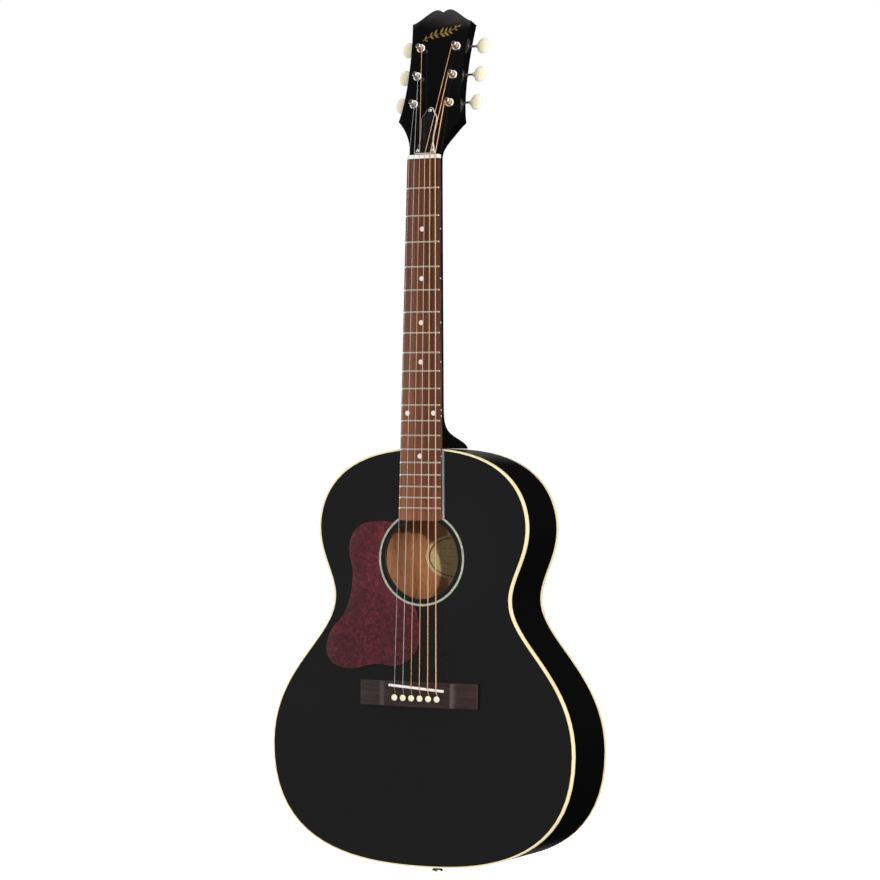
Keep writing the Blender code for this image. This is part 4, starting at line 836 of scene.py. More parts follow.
# %% Rosette
def make_rosette():
    bm = bmesh.new()
    low, high = ROSETTE_RADIUS - ROSETTE_WIDTH, ROSETTE_RADIUS
    profile = ((low, -0.0009), (low, 0.00003), (low + 0.0001, 0.00006),
               (high - 0.0001, 0.00006), (high, 0.00003), (high, -0.0009), (low, -0.0009))
    lathe(bm, profile, 128, facing_out(0, FACE_Y, SOUNDHOLE_Z))
    return finish("rosette_ring", bm, "rosette_plastic", ("rosette",))


ROSETTE = make_rosette()
print("rosette has", len(ROSETTE.data.polygons), "faces")

# %% [markdown]
# ## Bindings and sides
#
# A binding is a strip bent round the edge, so it is a ring between two outlines with a depth.
# Its outer corner is scraped round by hand on the real thing, and a bevel does that here.  The
# sides are the same ring, only deeper, and the back end of both follows the body's taper.

# %% Bindings and sides
def body_ring(bm, inset_out, inset_in, front, rear):
    """A wall between two insets, from one depth function to another.  Marks its inner side."""
    mark = bm.verts.layers.int.new("inner")
    outer_edges = loop_edges(bm, at_y(body_outline(inset_out), 0))
    inner_edges = loop_edges(bm, at_y(body_outline(inset_in), 0))
    for edge in inner_edges:
        for vert in edge.verts:
            vert[mark] = 1
    bmesh.ops.bridge_loops(bm, edges=outer_edges + inner_edges)
    moved = set(extrude(bm, bm.faces[:], (0, 1, 0)))
    for vert in bm.verts:
        vert.co.y = rear(vert.co.z) if vert in moved else front(vert.co.z)
    bmesh.ops.recalc_face_normals(bm, faces=bm.faces)
    return mark


def make_binding(name, node, front, rear, at_front):
    """One cream strip, rounded where a forearm would rub it."""
    bm = bmesh.new()
    mark = body_ring(bm, 0.0, BINDING_WIDTH, front, rear)
    level = front if at_front else rear
    corner = [edge for edge in bm.edges if all(
        not vert[mark] and abs(vert.co.y - level(vert.co.z)) < 1e-5 for vert in edge.verts)
        and abs(edge.verts[0].co.y - edge.verts[1].co.y) < 0.003]
    round_edges(bm, 0.0006, 3, corner)
    return finish(name, bm, "cream_binding", (node,))


def make_sides():
    """The bent sides: lacquer outside, bare mahogany inside."""
    bm = bmesh.new()
    mark = body_ring(bm, 0.0, SIDE_THICK, lambda z: FACE_Y + BINDING_DEPTH + SEAM,
                     lambda z: rear_y(z) - BINDING_DEPTH - SEAM)
    for face in bm.faces:
        face.material_index = 1 if all(vert[mark] for vert in face.verts) else 0
    return finish("bent_sides", bm, ("black_lacquer", "mahogany"),
                  ("side_left", "side_right"))


make_binding("binding_front", "front_binding", lambda z: FACE_Y,
             lambda z: FACE_Y + BINDING_DEPTH, True)
make_binding("binding_rear", "rear_binding", lambda z: rear_y(z) - BINDING_DEPTH, rear_y, False)
SIDES = make_sides()
print("sides have", len(SIDES.data.polygons), "faces")

# %% [markdown]
# ## Back
#
# The back is arched, which makes it stiff and keeps sound from getting trapped between two
# parallel plates.  The outline is inset again and again, each ring is scaled towards the
# middle and pushed out a little more, and the sheet is then given its thickness.

# %% Back
def make_back():
    bm = bmesh.new()
    face = fill(bm, at_y(body_outline(BINDING_WIDTH + SEAM), 0))
    face.normal_update()
    if face.normal.y < 0:
        face.normal_flip()
    bmesh.ops.inset_region(bm, faces=[face], thickness=BACK_RIM, use_boundary=True,
                           use_even_offset=True)
    middle = Matrix.Translation((0, 0, -(TAIL_Z + BODY_LENGTH / 2)))
    rings, past = 14, 1.0
    for ring in range(1, rings + 1):
        share = 1 - ring / (rings + 1)
        bmesh.ops.inset_region(bm, faces=[face], thickness=0)
        corners = list(face.verts)
        bmesh.ops.scale(bm, vec=(share / past, 1, share / past), space=middle, verts=corners)
        for corner in corners:
            corner.co.y = BACK_DOME * (1 - share ** 2) / 0.84
        past = share
    for vert in bm.verts:
        vert.co.y += rear_y(vert.co.z) - BACK_THICK
    extrude(bm, bm.faces[:], (0, BACK_THICK, 0))
    bmesh.ops.recalc_face_normals(bm, faces=bm.faces)
    for item in bm.faces:
        item.material_index = 1 if item.normal.y < -0.5 else 0
    return finish("arched_back", bm, ("black_lacquer", "mahogany"),
                  ("back_plate",))


BACK = make_back()
print("back has", len(BACK.data.polygons), "faces")

# %% [markdown]
# ## What stays as it is
#
# The braces, blocks, linings, strip and label inside the body already have their real shape,
# so their solids stay and only get a wood or paper finish.  They are seen through the
# soundhole, where plain timber is exactly what a player would find.

# %% Inner pieces
def dress(finish_name, *nodes):
    """Gives kept solids a better finish."""
    for node in nodes:
        piece = frame["nodes"][node]
        piece.data.materials.clear()
        piece.data.materials.append(MATERIALS[finish_name])


dress("mahogany", "front_lining", "rear_lining", "neck_block", "tail_block", "bridge_plate")
dress("spruce", "x_brace_1", "x_brace_2", "upper_brace", "back_brace_1", "back_brace_2",
      "back_strip")
dress("label_paper", "label")
dress("steel", "truss_rod")
dress("brass", "truss_rod_nut")
print("inner pieces dressed")

# %% [markdown]
# ## Pickguard
#
# The guard is a thin plastic sheet cut to a teardrop with a hollow for the rosette.  A closed
# Bezier curve with automatic handles draws it the way a maker bends a thin batten, and the
# curve's own bevel polishes its edge round.

# %% Pickguard
GUARD_LOW, GUARD_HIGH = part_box("pickguard")
GUARD_POINTS = (
    (-0.0360, 0.0432), (-0.0600, 0.0440), (-0.0860, 0.0362), (-0.0968, 0.0160),
    (-0.0920, -0.0220), (-0.1010, -0.0640), (-0.1240, -0.0960), (-0.1240, -0.1225),
    (-0.1020, -0.1342), (-0.0600, -0.1283), (-0.0230, -0.1270), (-0.0040, -0.1080),
    (-0.0022, -0.0760), (-0.0070, -0.0575), (-0.0200, 0.0000),
)
GUARD_CORNERS = (0, 13, 14)


def make_pickguard():
    thick = GUARD_HIGH.y - GUARD_LOW.y
    edge = 0.0003
    curve = bpy.data.curves.new("pickguard", "CURVE")
    curve.dimensions = "2D"
    curve.fill_mode = "BOTH"
    curve.extrude = thick / 2 - edge
    curve.bevel_depth = edge
    curve.bevel_resolution = 2
    curve.offset = -edge
    curve.resolution_u = 14
    spline = curve.splines.new("BEZIER")
    spline.bezier_points.add(len(GUARD_POINTS) - 1)
    for index, point in enumerate(GUARD_POINTS):
        knot = spline.bezier_points[index]
        knot.co = (*point, 0)
        kind = "VECTOR" if index in GUARD_CORNERS else "AUTO"
        knot.handle_left_type = kind
        knot.handle_right_type = kind
    spline.use_cyclic_u = True
    holder = bpy.data.objects.new("pickguard", curve)
    mesh = bpy.data.meshes.new_from_object(holder)
    bm = bmesh.new()
    bm.from_mesh(mesh)
    bpy.data.objects.remove(holder)
    place = facing_out(0, (GUARD_LOW.y + GUARD_HIGH.y) / 2, SOUNDHOLE_Z)
    bmesh.ops.transform(bm, matrix=place, verts=bm.verts)
    guard = finish("guard_plate", bm, "red_shell", ("pickguard",))
    drill(guard, facing_out(0, FACE_Y, SOUNDHOLE_Z), ROSETTE_RADIUS + 0.0003, 0.02, 128)
    return guard


PICKGUARD = make_pickguard()
print("pickguard has", len(PICKGUARD.data.polygons), "faces")

# %% [markdown]
# ## Bridge, saddle and pins
#
# The bridge is one stick of dark wood: full height in the middle, a hollow ramp at each end of
# the middle, and two thin wings.  Its end view is one outline extruded across.  The slot for
# the saddle, the six tapered holes and the little ramps that guide the strings are then cut,
# so that a pin that is pulled out leaves a hole behind.

# %% Bridge
BRIDGE_TOP_Y = BRIDGE_LOW.y
BRIDGE_FOOT_Y = BRIDGE_HIGH.y
WING_TALL = 0.0040
FLAT_HALF = 0.0440
RAMP_LENGTH = 0.0100
PIN_HOLE_RADIUS = 0.0028
SADDLE_SLOT_HALF, SADDLE_SLOT_THICK_HALF = 0.0367, 0.00165
PIN_Z = (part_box("bridge_pin_1")[0].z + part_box("bridge_pin_1")[1].z) / 2


def pin_x(number):
    low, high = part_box(f"bridge_pin_{number}")
    return (low.x + high.x) / 2


def on_saddle(y):
    """A place at the saddle's middle, turned with its slant."""
    return Matrix.Translation((0, y, SADDLE_Z)) @ Matrix.Rotation(SADDLE_SLANT, 4, "Y")


def make_bridge():
    bm = bmesh.new()
    end = BRIDGE_HIGH.x
    tall = BRIDGE_FOOT_Y - BRIDGE_TOP_Y
    half = []
    for step in range(8, -1, -1):
        share = step / 8
        half.append(Vector((FLAT_HALF + (1 - share) * RAMP_LENGTH,
                            WING_TALL + (tall - WING_TALL) * share ** 2)))
    half += [Vector((end, WING_TALL)), Vector((end, 0))]
    outline = [Vector((point.x, BRIDGE_FOOT_Y - point.y, BRIDGE_LOW.z))
               for point in mirrored(half)]
    face = fill(bm, outline)
    extrude(bm, [face], (0, 0, BRIDGE_HIGH.z - BRIDGE_LOW.z))
    round_edges(bm, 0.0007, 3)
    bridge = finish("bridge_block", bm, "bridge_wood", ("bridge",))

    cut_box(bridge, (-SADDLE_SLOT_HALF, -0.002, -SADDLE_SLOT_THICK_HALF),
            (SADDLE_SLOT_HALF, 0.0050, SADDLE_SLOT_THICK_HALF), on_saddle(BRIDGE_TOP_Y))
    for number in STRING_NUMBERS:
        x = pin_x(number)
        drill(bridge, facing_out(x, BRIDGE_TOP_Y, PIN_Z), PIN_HOLE_RADIUS, 0.030, 32)
        width = STRING_RADII[number - 1] + 0.0003
        cut_box(bridge, (x - width, BRIDGE_TOP_Y - 0.001, PIN_Z),
                (x + width, BRIDGE_TOP_Y + 0.0030, PIN_Z + 0.0040 + width))
    return bridge


BRIDGE = make_bridge()
print("bridge has", len(BRIDGE.data.polygons), "faces")

# %% [markdown]
# The saddle is a slip of bone set at a slant, because thick strings need to be a touch longer
# to play in tune.  Its top is rounded over the way a file leaves it.  Each pin is turned: a
# domed head, a small collar, and a taper that wedges in the hole.

# %% Saddle and pins
def make_saddle():
    bm = bmesh.new()
    half_length, half_thick = 0.0365, 0.0015
    top = SADDLE_LOW.y - FACE_Y
    block(bm, (-half_length, top, -half_thick), (half_length, -0.0040, half_thick))
    round_edges(bm, 0.0007, 4)
    bmesh.ops.transform(bm, matrix=on_saddle(FACE_Y), verts=bm.verts)
    return finish("saddle_slip", bm, "bone", ("saddle",))


def make_bridge_pin(number):
    node = f"bridge_pin_{number}"
    low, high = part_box(node)
    bm = bmesh.new()
    head = 0.0038
    top = BRIDGE_TOP_Y - low.y
    shaft = 0.0026
    profile = [(0, top)]
    for angle in quarter_turns(8, 1):
        profile.append((head * math.sin(angle), top - 0.0019 * (1 - math.cos(angle))))
    profile += [(head, top - 0.0023), (head * 0.86, top - 0.0029), (shaft, top - 0.0031),
                (shaft, 0.0004), (shaft * 0.97, -0.002), (0.0020, BRIDGE_TOP_Y - high.y),
                (0, BRIDGE_TOP_Y - high.y)]
    lathe(bm, profile, 32, facing_out(pin_x(number), BRIDGE_TOP_Y, PIN_Z))
    return finish(f"pin_{number}", bm, "ivory_plastic", (node,), node)


make_saddle()
for number in STRING_NUMBERS:
    make_bridge_pin(number)
print("saddle and pins made")

# %% [markdown]
# ## Neck
#
# A neck is a row of sections.  Each one is a flattened half circle, and near the body the
# sections grow deep and narrow into the heel.  Two numbers shape a section: a fullness, which
# goes from round to square as it falls, and a cap, which is how wide the flat of the back is.
# The same two numbers carry the round neck into the square headstock, so the two meet in one
# smooth hollow behind the nut, as a carver would leave it.

# %% Neck sections
HALF_AT_NUT = (NUT_HIGH.x - NUT_LOW.x) / 2
BOARD_TAPER = (BOARD_HIGH.x - HALF_AT_NUT) / (BOARD_HIGH.z - BOARD_LOW.z)
NECK_DEPTH_AT_NUT = 0.0145
NECK_DEPTH_AT_HEEL = 0.0165
NECK_FULLNESS = 0.85
NECK_CAP = 0.0020
SECTION_STEPS = 14
HEEL_ROWS = (
    (0.0600, 0.0165, 0.0020), (0.0530, 0.0167, 0.0021), (0.0460, 0.0171, 0.0022),
    (0.0410, 0.0177, 0.0028), (0.0360, 0.0187, 0.0035), (0.0320, 0.0208, 0.0047),
    (0.0282, 0.0238, 0.0061), (0.0250, 0.0276, 0.0073), (0.0218, 0.0325, 0.0086),
    (0.0180, 0.0412, 0.0107), (0.0146, 0.0520, 0.0127), (0.0115, 0.0632, 0.0143),
    (0.0082, 0.0745, 0.0155), (0.0057, 0.0808, 0.0161), (0.0036, 0.0842, 0.0167),
    (0.0018, 0.0857, 0.0170), (0.0003, 0.0860, 0.0170),
)
HUMP = (0.0087, 0.1879)
NOTCH = 0.1843
CORNER = (0.0397, 0.1708)
FLARE = (0.0422, 0.0442)


def board_half(z):
    """Half the fretboard's width at a height."""
    return HALF_AT_NUT + BOARD_TAPER * (NUT_Z - min(z, NUT_Z))


def half_section(half, depth, cap, fullness):
    """(across, down) points from the edge of the top to the middle of the back."""
    points = []
    for angle in quarter_turns(SECTION_STEPS):
        points.append((cap + (half - cap) * max(math.cos(angle), 0.0) ** fullness,
                       depth * math.sin(angle) ** fullness))
    return points


def whole_section(half, depth, cap, fullness):
    """Both halves of a section, as one ring."""
    right = half_section(half, depth, cap, fullness)
    return right + [(-across, down) for across, down in reversed(right)]


def head_outline(steps=10):
    """The headstock's right edge in (x, u), from the nut to the notch in its tip."""
    spans = (
        ((HALF_AT_NUT, 0), (HALF_AT_NUT, FLARE[1] * 0.41), (FLARE[0] * 0.78, FLARE[1] * 0.82),
         FLARE),
        (FLARE, (CORNER[0] * 0.845, CORNER[1] * 0.456), (CORNER[0] * 0.895, CORNER[1] * 0.79),
         CORNER),
        (CORNER, (CORNER[0] - 0.33 * (CORNER[0] - HUMP[0]),
                  CORNER[1] + 0.16 * (HUMP[1] - CORNER[1])),
         (HUMP[0] + 0.27 * (CORNER[0] - HUMP[0]), HUMP[1]), HUMP),
        (HUMP, (HUMP[0] * 0.6, HUMP[1]), (HUMP[0] * 0.25, NOTCH + 0.5 * (HUMP[1] - NOTCH)),
         (0, NOTCH)),
    )
    return bezier_path(spans, steps)


print("neck joins the headstock at", round(NUT_TOP_Z, 4))

# %% Neck and headstock
def ease(value):
    """A smooth step from 0 to 1."""
    value = min(max(value, 0.0), 1.0)
    return value * value * (3 - 2 * value)


def make_neck():
    """The neck's skin, and the headstock as a stack of outlines that grow square."""
    bm = bmesh.new()
    rows = [(BODY_TOP_Z + height, depth, cap) for height, depth, cap in reversed(HEEL_ROWS)]
    heel_end = rows[-1][0]
    shaft_end = NUT_Z - 0.010
    for step in range(1, 9):
        share = step / 8
        z = heel_end + share * (shaft_end - heel_end)
        rows.append((z, NECK_DEPTH_AT_HEEL + share * (NECK_DEPTH_AT_NUT - NECK_DEPTH_AT_HEEL),
                     NECK_CAP))
    rings = []
    for z, depth, cap in rows:
        section = whole_section(board_half(z), depth, cap, NECK_FULLNESS)
        rings.append([Vector((across, FACE_Y + down, z)) for across, down in section])
    last = whole_section(HALF_AT_NUT, HEAD_THICK, NECK_CAP, NECK_FULLNESS)
    rings.append([on_head(across, 0, -down) for across, down in last])
    skin(bm, rings)

    right = head_outline()
    layers = []
    for step in range(SECTION_STEPS + 1):
        half_ring = []
        for point in right:
            square = ease(point.y / (FLARE[1] * 0.86))
            fullness = NECK_FULLNESS + square * (0.05 - NECK_FULLNESS)
            cap = NECK_CAP + square * (point.x * 0.985 - NECK_CAP)
            cap = min(cap, point.x)
            across, down = half_section(point.x, HEAD_THICK, cap, fullness)[step]
            half_ring.append(Vector((across, point.y, -down)))
        ring = half_ring + [Vector((-p.x, p.y, p.z)) for p in reversed(half_ring[:-1])]
        layers.append([HEAD_AXES @ p for p in ring])
    skin(bm, layers)
    return finish("neck_and_headstock", bm, "black_lacquer", ("neck",),
                  crisp=30)


NECK = make_neck()
print("neck has", len(NECK.data.polygons), "faces")

# %% [markdown]
# ## Headstock face
#
# The face is a thin veneer, glued on and lacquered with the rest.  On it sit the cover for the
# truss rod, which is two layers of plastic with the edge cut at a slant so that the white one
# shows, and a small gold ornament: a leafy sprig, drawn for this lesson, where a maker would
# put a mark.

# %% Veneer and cover
def make_veneer():
    bm = bmesh.new()
    level = 0.00005
    face = fill(bm, [on_head(point.x, point.y, -VENEER_THICK * 0.5)
                     for point in mirrored(head_outline())])
    extrude(bm, [face], OUTWARD * (VENEER_THICK * 0.5 + level))
    inverse = HEAD_AXES.inverted()
    edge = [item for item in bm.edges if all(
        abs((inverse @ vert.co).z - level) < 1e-6 for vert in item.verts)]
    round_edges(bm, 0.0006, 3, edge)
    return finish("headstock_face", bm, "black_lacquer",
                  ("headstock_veneer",), crisp=25)


COVER_START, COVER_LENGTH, COVER_THICK = 0.0015, 0.0595, 0.0022
COVER_BASE, COVER_SIDE = 0.0138, 0.0108
COVER_SCREWS = ((0.0, 0.0566), (-0.0100, 0.0052), (0.0100, 0.0052))
SCREW_RADIUS = 0.0022


def cover_outline():
    """The bell's right half, from its crown to its foot."""
    top = COVER_START + COVER_LENGTH
    shoulder = COVER_START + 0.74 * COVER_LENGTH
    waist = COVER_START + 0.30 * COVER_LENGTH
    side, base = COVER_SIDE, COVER_BASE
    return mirrored(bezier_path((
        ((0, top), (0.26 * side, top), (0.37 * side, top - 0.0022), (0.50 * side, top - 0.0052)),
        ((0.50 * side, top - 0.0052), (0.66 * side, top - 0.0090), (side, shoulder + 0.0040),
         (side, shoulder)),
        ((side, shoulder), (side, shoulder - 0.0060), (0.84 * side, waist + 0.0080),
         (0.84 * side, waist)),
        ((0.84 * side, waist), (0.84 * side, waist - 0.0070),
         (0.90 * base, COVER_START + 0.0040), (base, COVER_START)),
    ), 12))


def make_cover():
    """White below, black on top: one slab whose slanted edge shows the white layer."""
    bm = bmesh.new()
    face = fill(bm, [on_head(point.x, point.y, 0.0003) for point in cover_outline()])
    extrude(bm, [face], OUTWARD * COVER_THICK * 0.45)
    bmesh.ops.recalc_face_normals(bm, faces=bm.faces)
    top = max(bm.faces, key=lambda item: item.normal.dot(OUTWARD) * item.calc_area())
    bmesh.ops.inset_region(bm, faces=[top], thickness=0.0009, use_even_offset=True,
                           use_boundary=True)
    bmesh.ops.translate(bm, vec=OUTWARD * COVER_THICK * 0.45, verts=list(top.verts))
    for item in bm.faces:
        item.material_index = 1
    top.material_index = 0
    return finish("rod_cover", bm, ("cover_plastic", "white_layer"),
                  ("truss_rod_cover",), crisp=20)


def make_screw(name, place, radius):
    """A small round-headed screw with a cross cut into it."""
    bm = bmesh.new()
    tall = radius * 0.55
    profile = [(0, tall)]
    for angle in quarter_turns(6, 1):
        profile.append((radius * math.sin(angle), tall * math.cos(angle)))
    profile += [(radius, -radius * 0.6), (0, -radius * 0.6)]
    lathe(bm, profile, 24, place)
    screw = finish(name, bm, "nickel")
    arm, width = radius * 0.62, radius * 0.13
    for half_x, half_y in ((arm, width), (width, arm)):
        cut_box(screw, (-half_x, -half_y, tall * 0.45), (half_x, half_y, tall * 2), place)
    return screw


make_veneer()
make_cover()
for count, (x, u) in enumerate(COVER_SCREWS, 1):
    make_screw(f"cover_screw_{count}", head_place(x, u, COVER_THICK + 0.0001), SCREW_RADIUS)
print("headstock face made")

# %% Gold ornament
SPRIG_START = Vector((-0.0225, 0.1490))
SPRIG_END = Vector((0.0215, 0.1640))
SPRIG_LEAVES = 7
LEAF_LONG, LEAF_WIDE = 0.0088, 0.0031
INLAY_LIFT = 0.00009


def leaf(bm, root, angle, length, width):
    """A pointed leaf: a disc pulled long and pinched at both ends."""
    made = bmesh.ops.create_circle(bm, cap_ends=True, segments=20, radius=0.5)["verts"]
    for vert in made:
        vert.co.y *= (1 - (2 * abs(vert.co.x)) ** 1.6 * 0.75)
    shape = (Matrix.Translation((root.x, root.y, 0)) @ Matrix.Rotation(angle, 4, "Z")
             @ Matrix.Translation((length / 2, 0, 0)) @ Matrix.Diagonal((length, width, 1, 1)))
    bmesh.ops.transform(bm, matrix=shape, verts=made)


def make_sprig():
    """A slanting sprig with leaves on both sides of its stem."""
    bm = bmesh.new()
    run = SPRIG_END - SPRIG_START
    lean = math.atan2(run.y, run.x)
    side = Vector((-run.y, run.x)).normalized()
    stem = []
    for step in range(25):
        share = step / 24
        stem.append(SPRIG_START + share * run + side * 0.0016 * math.sin(2 * math.pi * share))
    for first, second in zip(stem, stem[1:]):
        along = second - first
        leaf(bm, first - along * 0.4, math.atan2(along.y, along.x), along.length * 1.8, 0.0009)
    for step in range(SPRIG_LEAVES):
        share = (step + 0.5) / SPRIG_LEAVES
        root = stem[int(share * 24)]
        size = 1.0 - 0.45 * abs(2 * share - 1)
        for way in (1, -1):
            leaf(bm, root, lean + way * 0.85, LEAF_LONG * size, LEAF_WIDE * size)
    leaf(bm, stem[-1], lean + 0.1, LEAF_LONG * 0.6, LEAF_WIDE * 0.7)
    bmesh.ops.transform(bm, matrix=head_place(0, 0, INLAY_LIFT), verts=bm.verts)
    extrude(bm, bm.faces[:], OUTWARD * 0.00004)
    return finish("gold_sprig", bm, "gold_paint")


make_sprig()
print("ornament made")

# %% [markdown]
# ## Fretboard and frets
#
# The board is a long plank that widens towards the body.  Its top is crowned: the face is cut
# into narrow strips, and each strip's edge drops by the height of a shallow circle.  A fret's
# distance from the nut follows one rule, in which twelve frets halve the string, and every
# fret is a half-round wire bent to the same circle.

# %% Fretboard
BOARD_RADIUS = 0.3048
DOT_FRETS = (3, 5, 7, 9, 12, 15)
DOT_RADIUS = 0.0030
FRET_TALL = 0.0010
FRET_HALF = 0.00115


def fret_z(number):
    """A fret's height above the tail."""
    return NUT_Z - SCALE_LENGTH * (1 - 2 ** (-number / 12))


def crown(x):
    """How far the board's face has dropped at a distance from its middle."""
    return BOARD_RADIUS - math.sqrt(BOARD_RADIUS ** 2 - x * x)


BOARD_BACK_Y = BOARD_HIGH.y
BOARD_TOP_Y = BOARD_BACK_Y - 0.0062


def make_fretboard():
    bm = bmesh.new()
    end = board_half(BOARD_LOW.z)
    corner = 0.0040
    lower = [Vector((end - corner + corner * math.sin(turn), BOARD_LOW.z + corner
                     - corner * math.cos(turn)))
             for turn in quarter_turns(6)]
    half = lower + [Vector((board_half(NUT_Z), NUT_Z))]
    face = fill(bm, at_y(mirrored(half), BOARD_BACK_Y))
    extrude(bm, [face], (0, BOARD_TOP_Y - BOARD_BACK_Y, 0))
    round_edges(bm, 0.0005, 2)
    for step in range(-7, 8):
        bmesh.ops.bisect_plane(bm, geom=bm.verts[:] + bm.edges[:] + bm.faces[:],
                               plane_co=(step * 0.0035, 0, 0), plane_no=(1, 0, 0))
    for vert in bm.verts:
        if vert.co.y < (BOARD_TOP_Y + BOARD_BACK_Y) / 2:
            vert.co.y += crown(vert.co.x)
    return finish("fretboard_plank", bm, "fretboard_wood", ("fretboard",),
                  crisp=25)


def make_frets():
    """Nineteen bent wires, rounded over at both ends."""
    bm = bmesh.new()
    for number in range(1, FRET_COUNT + 1):
        z = fret_z(number)
        half = board_half(z) - 0.0002
        rings = []
        for step in range(-6, 7):
            x = half * math.sin(math.pi / 2 * step / 6)
            squash = 1.0 if abs(step) < 6 else 0.45
            foot = BOARD_TOP_Y + crown(x) + 0.0002
            ring = [Vector((x, foot, z - FRET_HALF)), Vector((x, foot, z + FRET_HALF))]
            for turn in (math.pi * bend / 8 for bend in range(0, 9)):
                ring.append(Vector((x, foot - 0.0002 - FRET_TALL * squash * math.sin(turn),
                                    z + FRET_HALF * math.cos(turn))))
            rings.append(ring)
        skin(bm, rings)
    return finish("frets", bm, "fret_wire", crisp=45)


def make_dots():
    """Pearl dots on the face, and small ones along the edge that the player looks down on."""
    bm = bmesh.new()
    for number in DOT_FRETS:
        z = (fret_z(number) + fret_z(number - 1)) / 2
        for x in ((-0.0174, 0.0174) if number == 12 else (0.0,)):
            lean = Matrix.Rotation(x / BOARD_RADIUS, 4, "Z") @ Matrix.Rotation(math.pi / 2, 4, "X")
            place = Matrix.Translation((x, BOARD_TOP_Y + crown(x) + 0.0003, z)) @ lean
            bmesh.ops.create_cone(bm, cap_ends=True, segments=32, radius1=DOT_RADIUS,
                                  radius2=DOT_RADIUS, depth=0.0007, matrix=place)
        for lift in ((-0.0035, 0.0035) if number == 12 else (0.0,)):
            place = Matrix.Translation((board_half(z + lift), (BOARD_TOP_Y + BOARD_BACK_Y) / 2,
                                        z + lift)) @ Matrix.Rotation(math.pi / 2, 4, "Y")
            bmesh.ops.create_cone(bm, cap_ends=True, segments=20, radius1=0.0010,
                                  radius2=0.0010, depth=0.0003, matrix=place)
    return finish("pearl_dots", bm, "pearl")


def make_painted_reflection_strip():
    """A thin pale grey strip on the top along the board's right edge: a painted reflection of light in the
    lacquer.
    """
    bm = bmesh.new()
    start, end = SOUNDHOLE_Z + ROSETTE_RADIUS * 0.86, BODY_TOP_Z - BINDING_WIDTH
    rings = []
    for z in (start, end):
        x = board_half(z) + 0.0002
        rings.append([Vector((x, FACE_Y + 0.00005, z)), Vector((x, FACE_Y - 0.0010, z)),
                      Vector((x + 0.0006, FACE_Y - 0.0004, z)),
                      Vector((x + 0.0020, FACE_Y - 0.00008, z)),
                      Vector((x + 0.0020, FACE_Y + 0.00005, z))])
    skin(bm, rings)
    return finish("lacquer_bead", bm, "pale_lacquer", crisp=60)


make_fretboard()
make_frets()
make_dots()
make_painted_reflection_strip()
print("fret 12 is", round(NUT_Z - fret_z(12), 4), "m from the nut")

# %% [markdown]
# The nut is a small block of bone at the end of the board.  Its top slopes back towards the
# pegs, and a slot is filed for each string, a little wider than the string and half as deep.

# %% Nut
def make_nut():
    bm = bmesh.new()
    block(bm, NUT_LOW, NUT_HIGH)
    for vert in bm.verts:
        if vert.co.y < NUT_LOW.y + 1e-4 and vert.co.z < NUT_LOW.z + 1e-4:
            vert.co.y -= 0.0004
    round_edges(bm, 0.0006, 3)
    nut = finish("nut_bone", bm, "bone", ("nut",))
    for number in STRING_NUMBERS:
        x = string_share(number) * STRING_SPREAD_AT_NUT
        place = Matrix.Translation((x, NUT_LOW.y - 0.0001, (NUT_LOW.z + NUT_HIGH.z) / 2))
        drill(nut, place, STRING_RADII[number - 1] * 1.15, 0.012, 16)
    return nut


make_nut()
print("nut made")

# %% [markdown]
# ## Tuners
#
# A tuner is a worm and a gear.  The button turns a long worm across the back of the headstock,
# the worm drives a small gear, and the gear turns the post that winds the string.  The plate,
# the lugs, the screws and the bushing stay with the guitar.  The post carries its gear and the
# string's windings, and the shaft carries its button, so both turn as their joints say.

# %% Tuner measures
POST_RADIUS = 0.0030
POST_REACH = 0.0100
POST_HOLE_RADIUS = 0.0009
STRING_ON_POST = 0.0062
PLATE_THICK = 0.0012
PLATE_BACK = -HEAD_THICK - GAP - PLATE_THICK
GEAR_RADIUS, GEAR_THICK, GEAR_TEETH = 0.0043, 0.0032, 14
WORM_RADIUS, SHAFT_RADIUS = 0.0019, 0.0014
WORM_OFFSET = GEAR_RADIUS + GAP + WORM_RADIUS
KEY_DEPTH = PLATE_BACK - GAP - GEAR_THICK / 2
LUG_INNER, LUG_THICK, LUG_HALF = 0.0060, 0.0025, 0.0032
SIDEWAYS = Matrix.Rotation(math.pi / 2, 4, "Y")
BUTTON_REACH = 0.0263
BUTTON_SIZE = (0.0148, 0.0196, 0.0076)


